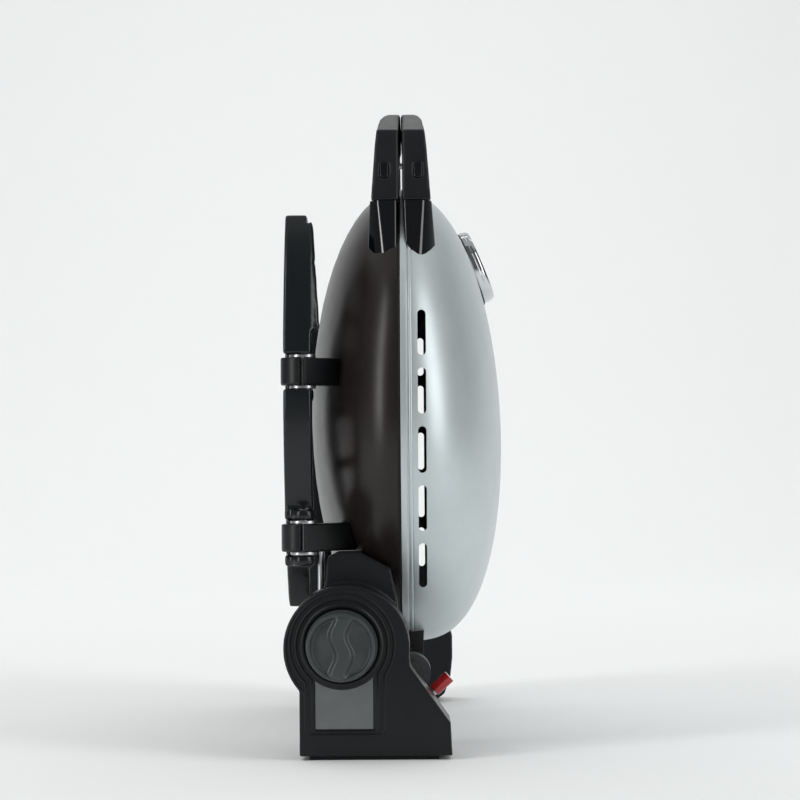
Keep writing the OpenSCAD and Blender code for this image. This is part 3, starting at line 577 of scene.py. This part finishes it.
def knob_height(u, v):
    """Depth of the knob's face below its highest line, at a share u, v of its radius."""
    middle = WAVE_REACH * math.cos(2 * math.pi * (v - WAVE_START) / WAVE_LENGTH)
    off = abs(u - middle)
    dished = smooth_step((off - GRIP_HALF + GRIP_SIDE) / (2 * GRIP_SIDE))
    rim = smooth_step((math.hypot(u, v) - FACE_RIM) / FACE_RIM_W)
    hollow = DISH * dished * (1 - rim) * (0.75 + 0.25 * smooth_step((off - GRIP_HALF) / 0.5))
    return hollow + FACE_RIM_DROP * rim


def knob_body():
    """The knob: a tapered skirt and a face dished on both sides of a waved grip."""
    face_r = KNOB_RIM - 2.1 * MM
    front, back = KNOB_LO.y, KNOB_HI.y
    steps, rings = KNOB_STEPS, KNOB_RINGS
    verts = [(0, 0, front + knob_height(0, 0))]
    for k in range(1, rings + 1):
        share = k / rings
        for i in range(steps):
            a = 2 * math.pi * i / steps
            u, v = share * math.cos(a), share * math.sin(a)
            verts.append((u * face_r, v * face_r, front + knob_height(u, v)))
    depth = back - front
    side = [(face_r + 0.35 * MM, 0.75 * MM), (face_r + 0.62 * MM, 1.3 * MM),
            (face_r + 0.8 * MM, 2.2 * MM), (face_r + 1.2 * MM, depth * 0.5),
            (KNOB_RIM - 0.5 * MM, depth - 3.2 * MM), (KNOB_RIM, depth - 2.6 * MM),
            (KNOB_RIM, depth - 0.4 * MM), (KNOB_RIM - 0.4 * MM, depth),
            (KNOB_RIM - 2.4 * MM, depth), (KNOB_RIM - 2.6 * MM, depth - 3 * MM),
            (4 * MM, depth - 3 * MM)]
    for r, d in side:
        for i in range(steps):
            a = 2 * math.pi * i / steps
            verts.append((r * math.cos(a), r * math.sin(a), front + d))
    levels = rings + len(side)
    faces = [(0, 1 + i, 1 + (i + 1) % steps) for i in range(steps)]
    for k in range(levels - 1):
        a, b = 1 + k * steps, 1 + (k + 1) * steps
        for i in range(steps):
            j = (i + 1) % steps
            faces.append((a + i, b + i, b + j, a + j))
    verts = [Vector((KNOB_Z + u, y, KNOB_Y + v)) for u, v, y in verts]
    return soften(new_piece("gas_knob", solid_mesh("gas_knob", verts, faces)), 50)


def arc_points(x, z, r, start, end, steps):
    """Points on an arc in the plane of the housing's face, angles in degrees from the right."""
    angles = [math.radians(start + (end - start) * i / steps) for i in range(steps + 1)]
    return [(x + r * math.cos(a), z + r * math.sin(a)) for a in angles]


BEAD_STEPS = 6


def bead_run(form, path, y, half, high, closed=False):
    """A rounded bead along a path of (x, z) points, standing out of the housing's face."""
    count = len(path)
    rows = []
    for i, (x, z) in enumerate(path):
        before = path[(i - 1) % count] if closed or i else path[i]
        after = path[(i + 1) % count] if closed or i < count - 1 else path[i]
        run = Vector((after[0] - before[0], after[1] - before[1])).normalized()
        side = Vector((-run.y, run.x))
        row = []
        for k in range(BEAD_STEPS + 1):
            a = math.pi * k / BEAD_STEPS
            off, up = half * math.cos(a), high * math.sin(a) ** 0.7
            row.append(form.verts.new((x + side.x * off, y - up, z + side.y * off)))
        rows.append(row)
    for i in range(count if closed else count - 1):
        a, b = rows[i], rows[(i + 1) % count]
        for k in range(BEAD_STEPS):
            form.faces.new((a[k], a[k + 1], b[k + 1], b[k]))
        form.faces.new((a[0], b[0], b[-1], a[-1]))
    if not closed:
        form.faces.new(rows[0])
        form.faces.new(list(reversed(rows[-1])))


CASE_ROUND = 45 * MM      # radius of the housing's round top
CASE_ARC_R = 43.2 * MM    # radius of the single bead just inside that round
RING_CLEAR = 5.5 * MM     # from the knob's rim to the line that both rings are measured from
PLATE_LEFT, PLATE_RIGHT = 0.8 * MM, 2.2 * MM   # from the plate's sides to that same line
RING_CORNER = 4.5 * MM    # radius of the rings' lower corners
RINGS = ((1.8 * MM, 1.0 * MM), (6.3 * MM, 0.8 * MM))   # how far out each ring lies, its height


def case_bead():
    """Raised beads on the housing: two rings over the knob that run down round the plate."""
    case_lo, case_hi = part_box("control_housing")
    plate_lo, plate_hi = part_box("blank_plate")
    y = case_lo.y + 0.35 * MM
    hub_x, hub_z = case_lo.x + CASE_ROUND, case_hi.z - CASE_ROUND
    form = bmesh.new()
    for grow, high in RINGS:
        r = KNOB_RIM + RING_CLEAR + grow
        left, right = plate_lo.x - PLATE_LEFT - grow, plate_hi.x + PLATE_RIGHT + grow
        low = plate_lo.z - PLATE_LEFT - grow * 0.55
        start = math.degrees(math.acos(max(-1, min(1, (right - KNOB_Z) / r))))
        end = 180 + math.degrees(math.acos(max(-1, min(1, (KNOB_Z - left) / r))))
        path = arc_points(KNOB_Z, KNOB_Y, r, -start, end, 60)
        path += [(left, path[-1][1] - 3 * MM)]
        path += arc_points(left + RING_CORNER, low + RING_CORNER, RING_CORNER, 180, 270, 8)
        path += arc_points(right - RING_CORNER, low + RING_CORNER, RING_CORNER, 270, 360, 8)
        bead_run(form, path, y, 1.1 * MM, high, closed=True)
    bead_run(form, arc_points(hub_x, hub_z, CASE_ARC_R, 55, 232, 70), y, 0.9 * MM, 0.7 * MM)
    bmesh.ops.recalc_face_normals(form, faces=form.faces)
    return soften(form_piece(form, "case_beads"), 60)


# ---- the handle's mounts ----
# All in mm. Places along the frame's x axis, each at the top and at the tip: the inner edge, the
# outer edge and the ridge. Then how gently the face bends at the ridge, at the top and at the tip,
# and how far the inner and the outer lower corner rise above the tip.
MOUNT_SHAPES = {
    "base": dict(edges=((3.0, 3.0), (-17.0, -18.3)), ridge=(-11.5, -7.4), bend=(5.0, 12.0),
                 rise=(10, 10)),
    "lid": dict(edges=((7.4, 8.4), (28.6, 31.0)), ridge=(22.6, 19.8), bend=(4.0, 7.0),
                rise=(16, 11)),
}
MOUNT_DROP = 3 * MM       # how far the tip hangs below the CAD mount
MOUNT_IN = 15.3 * MM      # the front face's top, in from the CAD mount's front
MOUNT_LEAN = 18.6 * MM    # how far the front face leans out towards the tip
MOUNT_BACK = 69 * MM      # the back face's top, in from the CAD mount's front
MOUNT_TAPER = 21 * MM     # how far the back face comes forward towards the tip
MOUNT_COLS, MOUNT_ROWS = 44, 26


def mount_pair(name, side):
    """Both glossy mounts of one handle half: a ridged front that ends in a rounded tip."""
    shape = MOUNT_SHAPES[side]
    low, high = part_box(side + "_handle_mounts")
    top, tip = high.z, low.z - MOUNT_DROP
    cols, rows = MOUNT_COLS, MOUNT_ROWS
    out = -1 if side == "base" else 1

    def between(pair, t):
        return (pair[0] + (pair[1] - pair[0]) * t) * MM

    def point(i, k, back):
        t, share = k / rows, i / cols
        ridge, bend = between(shape["ridge"], t), between(shape["bend"], t)
        inner, outer = between(shape["edges"][0], t), between(shape["edges"][1], t)
        x = inner + (outer - inner) * share
        off = (x - ridge) * out
        if off > 0:
            far, rise, power = outer, shape["rise"][1], 1.6
        else:
            far, rise, power = inner, shape["rise"][0], 1.8
        corner = rise * MM * (abs(off) / abs(far - ridge)) ** power
        z = top + (tip + corner - top) * t
        fall = (top - z) / (top - tip)
        front = low.y + MOUNT_IN - MOUNT_LEAN * fall
        past = max(0.0, off + 0.5 * bend)
        front += past * past / (2 * bend)
        near_seam = max(0.0, 2 * MM - abs(x - inner))
        front += near_seam * near_seam / (3 * MM)
        if back:
            front = low.y + MOUNT_BACK - MOUNT_TAPER * fall
        return Vector((x, front, z))

    verts, faces = [], []
    for back in (False, True):
        verts += [point(i, k, back) for k in range(rows + 1) for i in range(cols + 1)]
    wide, count = cols + 1, (cols + 1) * (rows + 1)
    for k in range(rows):
        for i in range(cols):
            a = k * wide + i
            faces += [(a, a + 1, a + 1 + wide, a + wide),
                      (a + count, a + wide + count, a + 1 + wide + count, a + 1 + count)]
        for i in (0, cols):
            a = k * wide + i
            faces.append((a, a + wide, a + wide + count, a + count))
    for i in range(cols):
        for k in (0, rows):
            a = k * wide + i
            faces.append((a, a + count, a + 1 + count, a + 1))
    verts += [Vector((v.x, 2 * MID_Y - v.y, v.z)) for v in verts]
    faces += [tuple(a + 2 * count for a in face) for face in faces]
    return soften(new_piece(name, solid_mesh(name, verts, faces)), 40)


# ---- the thermometer ----
LENS_LO, LENS_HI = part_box("thermo_lens")
BEZEL_R = (BEZEL_HI.y - BEZEL_LO.y) / 2
THERMO_LEAN = math.radians(22.5)
DIAL_DROP = 3.95 * MM    # from the middle of the glass down to the dial's face
BEZEL_BACK = 6.8 * MM    # from the middle of the glass down to the bezel's back
DIAL_MARKS, DIAL_HALF_TURN, MARK_STEP = 31, 120, 50
MARK_OUT, MARK_IN, LONG_MARK_IN = 22 * MM, 19.5 * MM, 17 * MM
NUMBER_R, NUMBER_H = 13.6 * MM, 4 * MM


def thermo_place():
    """Frame of the thermometer: origin in the middle of the glass, z axis out of the dial."""
    s, c = math.sin(THERMO_LEAN), math.cos(THERMO_LEAN)
    turn = Matrix(((0, -s, c), (1, 0, 0), (0, c, s))).to_4x4()
    return Matrix.Translation((LENS_LO + LENS_HI) / 2) @ turn


def bezel_ring():
    """The chrome bezel: a turned cup with a rolled front lip."""
    r, base = BEZEL_R, -BEZEL_BACK
    corners = [(5 * MM, base), (r - 0.3 * MM, base), (r, base + 1.5 * MM), (r, -1.9 * MM),
               (r - 0.5 * MM, -1.5 * MM), (r - 0.7 * MM, 0.6 * MM), (r - 2.2 * MM, 2.7 * MM),
               (r - 4 * MM, 2.2 * MM), (r - 4.6 * MM, 0.4 * MM), (r - 4.6 * MM, base + 2 * MM),
               (5 * MM, base + 2 * MM)]
    ring = turned("chrome_bezel", rounded_profile(corners, 0.7 * MM), thermo_place(), 144)
    return soften(ring, 50)


def dial_marks():
    """Printed marks of the dial, every fifth one longer and numbered."""
    form = bmesh.new()
    for i in range(DIAL_MARKS):
        share = i / (DIAL_MARKS - 1)
        turn = Matrix.Rotation(math.radians(DIAL_HALF_TURN * (1 - 2 * share)), 4, "Z")
        long = i % 5 == 0
        half = (0.5 if long else 0.3) * MM
        low = Vector((-half, LONG_MARK_IN if long else MARK_IN, -DIAL_DROP))
        high = Vector((half, MARK_OUT, -DIAL_DROP + 0.1 * MM))
        seen = len(form.verts)
        box_form(form, low, high)
        form.verts.ensure_lookup_table()
        bmesh.ops.transform(form, matrix=turn, verts=form.verts[seen:])
        if long:
            text = bpy.data.curves.new("number", "FONT")
            text.body, text.size = str(MARK_STEP * (i // 5 + 1)), NUMBER_H
            text.extrude = 0.05 * MM
            text.align_x = text.align_y = "CENTER"
            made = bpy.data.objects.new("number", text)
            bpy.context.scene.collection.objects.link(made)
            bpy.context.view_layer.update()
            mesh = baked(made)
            spot = turn @ Vector((0, NUMBER_R, -DIAL_DROP + 0.05 * MM))
            mesh.transform(Matrix.Translation(spot))
            form.from_mesh(mesh)
            bpy.data.objects.remove(made)
            bpy.data.curves.remove(text)
    bmesh.ops.transform(form, matrix=thermo_place(), verts=form.verts)
    return form_piece(form, "dial_marks")


# ---- operators ----
class GRILL_OT_lid(bpy.types.Operator):
    """Presses the silver lid, with its rim band, bead and vent slots"""
    bl_idname = "grill.lid"
    bl_label = "Lid"

    def execute(self, context):
        settle(lid_skin(), "lid", "lid_paint", ["lid_shell"])
        return {"FINISHED"}


class GRILL_OT_bowl(bpy.types.Operator):
    """Finishes the dark bowl and its rim seal"""
    bl_idname = "grill.bowl"
    bl_label = "Bowl"

    def execute(self, context):
        keep_node("base_shell", "base_paint", 0.6)
        keep_node("rim_seal", "seal", 0.3)
        return {"FINISHED"}


class GRILL_OT_handle(bpy.types.Operator):
    """Moulds both halves of the handle, their glossy mounts, plugs and the latch"""
    bl_idname = "grill.handle"
    bl_label = "Handle"

    def execute(self, context):
        for part in ("base", "lid"):
            moulded(part + "_handle_grip", part + "_handle_half", "handle_plastic", 1.1, 7)
            feet = mount_pair(part + "_handle_feet", part)
            settle(feet, part, "gloss_plastic", [part + "_handle_mounts"])
            keep_node(part + "_screw_plugs", "gloss_plastic", 0.5, 3)
        keep_node("latch_lever", "steel", 0.4)
        keep_node("latch_catch", "steel", 0.4)
        return {"FINISHED"}


class GRILL_OT_hinges(bpy.types.Operator):
    """Finishes the lid's two hinges"""
    bl_idname = "grill.hinges"
    bl_label = "Hinges"

    def execute(self, context):
        keep_node("base_hinge_brackets", "hinge_black", 0.5)
        keep_node("lid_hinge_arms", "hinge_black", 0.5)
        keep_node("hinge_pins", "steel", 0.4)
        return {"FINISHED"}


class GRILL_OT_legs(bpy.types.Operator):
    """Finishes the folding legs with their brackets, pins and washers"""
    bl_idname = "grill.legs"
    bl_label = "Legs"

    def execute(self, context):
        for side in ("near", "far"):
            moulded(side + "_leg_moulding", side + "_leg", "leg_black", 1.3, 16)
            keep_node(side + "_leg_pins", "steel", 0.4)
            keep_node(side + "_leg_washers", "steel", 0.3)
        moulded("leg_bracket_arms", "leg_brackets", "housing_black", 0.7, 8)
        moulded("leg_bracket_caps", "leg_pivot_caps", "housing_black", 0.7, 9)
        keep_node("stay_rods", "steel", 0.3)
        return {"FINISHED"}


class GRILL_OT_feet(bpy.types.Operator):
    """Moulds the feet and the control housing, with pads, plate and screws"""
    bl_idname = "grill.feet"
    bl_label = "Feet and housing"

    def execute(self, context):
        moulded("near_foot_casting", "near_foot_frame", "housing_black", 1.2, 5)
        moulded("control_case", "control_housing", "housing_black", 1.0, 5)
        moulded("far_foot_casting", "far_foot_frame", "housing_black", 1.2, 5)
        moulded("far_foot_case", "far_foot_cover", "housing_black", 1.2, 6)
        keep_node("foot_pads", "seal", 0.6)
        keep_node("blank_plate", "plate", 0.25)
        keep_node("housing_screws", "steel", 0.3)
        settle(case_bead(), "base", "housing_black")
        return {"FINISHED"}


class GRILL_OT_knob(bpy.types.Operator):
    """Finishes the gas knob, its ringed surround, stem and collar"""
    bl_idname = "grill.knob"
    bl_label = "Knob"

    def execute(self, context):
        settle(knob_body(), "knob", "knob_grey", ["control_knob"])
        keep_node("knob_bezel", "housing_black", 0.4)
        keep_node("valve_stem", "brass", 0.3)
        keep_node("push_collar", "steel", 0.3)
        return {"FINISHED"}


class GRILL_OT_thermometer(bpy.types.Operator):
    """Makes the lid thermometer, with its chrome bezel, dial marks, needle and glass"""
    bl_idname = "grill.thermometer"
    bl_label = "Thermometer"

    def execute(self, context):
        keep_node("thermo_flange", "flange", 0.0)
        settle(bezel_ring(), "lid", "chrome", ["thermo_bezel"])
        settle(dial_marks(), "lid", "flange")
        keep_node("thermo_dial", "dial", 0.1)
        keep_node("thermo_needle", "needle_red", 0.1)
        keep_node("thermo_lens", "lens", 0.3)
        keep_node("thermo_probe", "steel", 0.4)
        keep_node("thermo_nut", "steel", 0.4)
        return {"FINISHED"}


class GRILL_OT_gas(bpy.types.Operator):
    """Finishes the regulator, inlet, red cap, valve and pipe"""
    bl_idname = "grill.gas"
    bl_label = "Gas parts"

    def execute(self, context):
        keep_node("regulator_body", "regulator", 0.8, 3)
        keep_node("inlet_fitting", "steel", 0.4)
        keep_node("inlet_cap", "cap_red", 0.8, 3)
        keep_node("valve_body", "brass", 0.6)
        keep_node("gas_pipe", "steel", 0.2)
        keep_node("orifice_fitting", "brass", 0.3)
        return {"FINISHED"}


class GRILL_OT_burner(bpy.types.Operator):
    """Finishes the burner, its brackets, heat plate, igniter and grease tray"""
    bl_idname = "grill.burner"
    bl_label = "Burner"

    def execute(self, context):
        for node in ("venturi_tube", "burner_tube", "burner_brackets", "heat_plate", "grease_tray"):
            keep_node(node, "hot_steel", 0.3)
        keep_node("igniter_electrode", "ceramic", 0.3)
        return {"FINISHED"}


class GRILL_OT_grate(bpy.types.Operator):
    """Finishes the cooking grate and its rests"""
    bl_idname = "grill.grate"
    bl_label = "Cooking grate"

    def execute(self, context):
        keep_node("cooking_grate", "grate_iron", 0.8)
        keep_node("grate_rests", "base_paint", 0.4)
        return {"FINISHED"}


class GRILL_OT_stage(bpy.types.Operator):
    """Sets the pale floor, the soft lights and the camera"""
    bl_idname = "grill.stage"
    bl_label = "Stage"

    def execute(self, context):
        stage = context.scene.grill_stage
        floor_and_wall()
        lights(stage)
        camera(stage)
        return {"FINISHED"}


# ---- stage ----
# painted shade: the floor in front of the grill is painted grey, so the glossy parts mirror darker
# surroundings
SHADE_PAINT_FULL, SHADE_PAINT_END = -2.4, -1.0    # the floor's grey front fades to pale between these depths


def floor_and_wall():
    """A pale floor that curves up into the wall behind it. In front of the grill it is painted grey
    as shade, which the glossy parts mirror.
    """
    width, near, back, rise, bend, steps = 12.0, -6.0, 5.0, 6.0, 2.6, 60
    section = [(near, 0.0)]
    for i in range(steps + 1):
        a = math.pi / 2 * i / steps
        section.append((back - bend + bend * math.sin(a), bend - bend * math.cos(a)))
    section.append((back, rise))
    verts, faces = [], []
    for y, z in section:
        verts += [(-width, y, z), (width, y, z)]
    for i in range(len(section) - 1):
        faces.append((2 * i, 2 * i + 1, 2 * i + 3, 2 * i + 2))
    floor = new_piece("studio_floor", mesh_from("studio_floor", verts, faces))
    smooth_faces(floor.data)
    material = bpy.data.materials.new("studio_paper")
    material.use_nodes = True
    tree = material.node_tree
    shader = tree.nodes["Principled BSDF"]
    noise = add_node(tree, "ShaderNodeTexNoise", Scale=3.0)
    tone = tree.nodes.new("ShaderNodeValToRGB")
    tone.color_ramp.elements[0].color = (0.855, 0.87, 0.87, 1)
    tone.color_ramp.elements[1].color = (0.885, 0.90, 0.90, 1)
    tree.links.new(noise.outputs["Fac"], tone.inputs["Fac"])
    split = tree.nodes.new("ShaderNodeSeparateXYZ")
    tree.links.new(tree.nodes.new("ShaderNodeTexCoord").outputs["Object"], split.inputs["Vector"])
    depth = tree.nodes.new("ShaderNodeMapRange")
    depth.inputs["From Min"].default_value = SHADE_PAINT_FULL
    depth.inputs["From Max"].default_value = SHADE_PAINT_END
    tree.links.new(split.outputs["Y"], depth.inputs["Value"])
    # painted shade: the floor's colour is mixed towards grey in front of the grill, for the glossy
    # parts to mirror
    shade_mix = tree.nodes.new("ShaderNodeMix")
    shade_mix.data_type = "RGBA"
    shade_mix.inputs["A"].default_value = (0.4, 0.405, 0.405, 1)
    tree.links.new(depth.outputs["Result"], shade_mix.inputs["Factor"])
    tree.links.new(tone.outputs["Color"], shade_mix.inputs["B"])
    tree.links.new(shade_mix.outputs["Result"], shader.inputs["Base Color"])
    shader.inputs["Roughness"].default_value = 0.85
    shader.inputs["Specular IOR Level"].default_value = 0.1
    floor.data.materials.append(material)


CEILING_SHARE = 0.2       # share of the top light that glossy surfaces mirror


def area_light(name, place, aim, size, power):
    """A soft box at a place, turned to face a point."""
    data = bpy.data.lights.new(name, "AREA")
    data.shape = "RECTANGLE"
    data.size, data.size_y = size
    data.energy = power
    lamp = bpy.data.objects.new(name, data)
    lamp.location = place
    lamp.rotation_euler = (Vector(aim) - Vector(place)).to_track_quat("-Z", "Y").to_euler()
    bpy.context.scene.collection.objects.link(lamp)
    return lamp


def lights(stage):
    """Soft studio light: a wide ceiling, a washed wall, two tall side boxes, a dim surround."""
    area_light("ceiling", (-0.4, 1.5, 3.2), (-0.4, 1.5, 0), (5.0, 5.0),
               stage.top_power * CEILING_SHARE)
    bounce = area_light("ceiling_bounce", (-0.4, 1.0, 3.6), (-0.4, 1.0, 0), (6.0, 6.0),
                        stage.top_power * (1 - CEILING_SHARE))
    bounce.visible_glossy = False
    area_light("wall_wash", (0, 1.6, 3.4), (0, 5.0, 0.9), (6.0, 2.0), stage.wall_power)
    area_light("key_box", (-1.7, -1.25, 1.5), (0, 0, 1.5), (0.4, 2.9), stage.key_power)
    area_light("fill_box", (1.8, -1.15, 1.5), (0, 0, 1.5), (0.9, 2.9), stage.fill_power)
    world = bpy.data.worlds.new("studio_surround")
    bpy.context.scene.world = world
    world.use_nodes = True
    back = world.node_tree.nodes["Background"]
    back.inputs["Color"].default_value = (1.0, 1.0, 1.0, 1)
    back.inputs["Strength"].default_value = stage.surround
    bpy.context.scene.view_settings.view_transform = "Standard"


def camera(stage):
    """The camera on the grill's end, a little below its middle, with a long lens."""
    data = bpy.data.cameras.new("camera")
    data.sensor_width = 36.0
    data.lens = stage.lens
    data.clip_start, data.clip_end = 0.05, 60.0
    eye = bpy.data.objects.new("camera", data)
    eye.location = (stage.camera_x, -stage.distance, stage.camera_z)
    aim = Matrix.Rotation(stage.pan, 4, "Z") @ Matrix.Rotation(math.pi / 2 + stage.tilt, 4, "X")
    eye.rotation_euler = (aim @ Matrix.Rotation(stage.roll, 4, "Z")).to_euler()
    bpy.context.scene.collection.objects.link(eye)
    bpy.context.scene.camera = eye


# ---- settings, panel and registration ----
class GrillFinish(bpy.types.PropertyGroup):
    """Colours that a user may change"""
    lid_paint: FloatVectorProperty(
        name="Lid paint", description="Colour of the lid's metallic paint", subtype="COLOR",
        default=FINISHES["lid_paint"]["colour"], min=0, max=1)
    base_paint: FloatVectorProperty(
        name="Bowl paint", description="Colour of the bowl's metallic paint", subtype="COLOR",
        default=FINISHES["base_paint"]["colour"], min=0, max=1)
    cap_red: FloatVectorProperty(
        name="Cap colour", description="Colour of the gas inlet's cap", subtype="COLOR",
        default=FINISHES["cap_red"]["colour"], min=0, max=1)


class GrillStage(bpy.types.PropertyGroup):
    """Lights and camera"""
    key_power: FloatProperty(name="Key light", description="Power of the left light box",
                             default=26.0, min=0, subtype="POWER", unit="POWER")
    fill_power: FloatProperty(name="Fill light", description="Power of the right light box",
                              default=26.0, min=0, subtype="POWER", unit="POWER")
    wall_power: FloatProperty(name="Wall wash", description="Power of the light on the wall",
                              default=54.0, min=0, subtype="POWER", unit="POWER")
    top_power: FloatProperty(name="Top light", description="Power of the overhead light box",
                             default=120.0, min=0, subtype="POWER", unit="POWER")
    surround: FloatProperty(name="Surround", description="Brightness of the white surround",
                            default=0.12, min=0)
    lens: FloatProperty(name="Lens", description="Focal length in millimetres",
                        default=112.3, min=1)
    distance: FloatProperty(name="Distance", description="Camera distance from the middle",
                            default=1.995, min=0.3, unit="LENGTH")
    camera_x: FloatProperty(name="Camera side step", description="Camera place across the view",
                            default=0.0143, unit="LENGTH")
    camera_z: FloatProperty(name="Camera height", description="Camera height above the floor",
                            default=0.2145, unit="LENGTH")
    pan: FloatProperty(name="Pan", description="Turn of the camera to the left",
                       default=math.radians(0.313), unit="ROTATION")
    tilt: FloatProperty(name="Tilt", description="Rise of the camera's aim",
                        default=math.radians(1.318), unit="ROTATION")
    roll: FloatProperty(name="Roll", description="Lean of the camera",
                        default=math.radians(-0.4), unit="ROTATION")


STEPS = (GRILL_OT_lid, GRILL_OT_bowl, GRILL_OT_handle, GRILL_OT_hinges, GRILL_OT_legs,
         GRILL_OT_feet, GRILL_OT_knob, GRILL_OT_thermometer, GRILL_OT_gas, GRILL_OT_burner,
         GRILL_OT_grate, GRILL_OT_stage)


class GRILL_PT_panel(bpy.types.Panel):
    """The grill's pieces, in the order in which they are made"""
    bl_label = "Gas grill"
    bl_idname = "GRILL_PT_panel"
    bl_space_type = "VIEW_3D"
    bl_region_type = "UI"
    bl_category = "Grill"

    def draw(self, context):
        for group in (context.scene.grill_finish, context.scene.grill_stage):
            for key in group.__annotations__:
                self.layout.prop(group, key)
        for step in STEPS:
            self.layout.operator(step.bl_idname)


CLASSES = (GrillFinish, GrillStage) + STEPS + (GRILL_PT_panel,)


def register():
    for cls in CLASSES:
        bpy.utils.register_class(cls)
    bpy.types.Scene.grill_finish = PointerProperty(type=GrillFinish)
    bpy.types.Scene.grill_stage = PointerProperty(type=GrillStage)


def unregister():
    del bpy.types.Scene.grill_stage
    del bpy.types.Scene.grill_finish
    for cls in reversed(CLASSES):
        bpy.utils.unregister_class(cls)


def main():
    register()
    for step in STEPS:
        group, call = step.bl_idname.split(".")
        getattr(getattr(bpy.ops, group), call)()


if __name__ == "__main__":
    main()
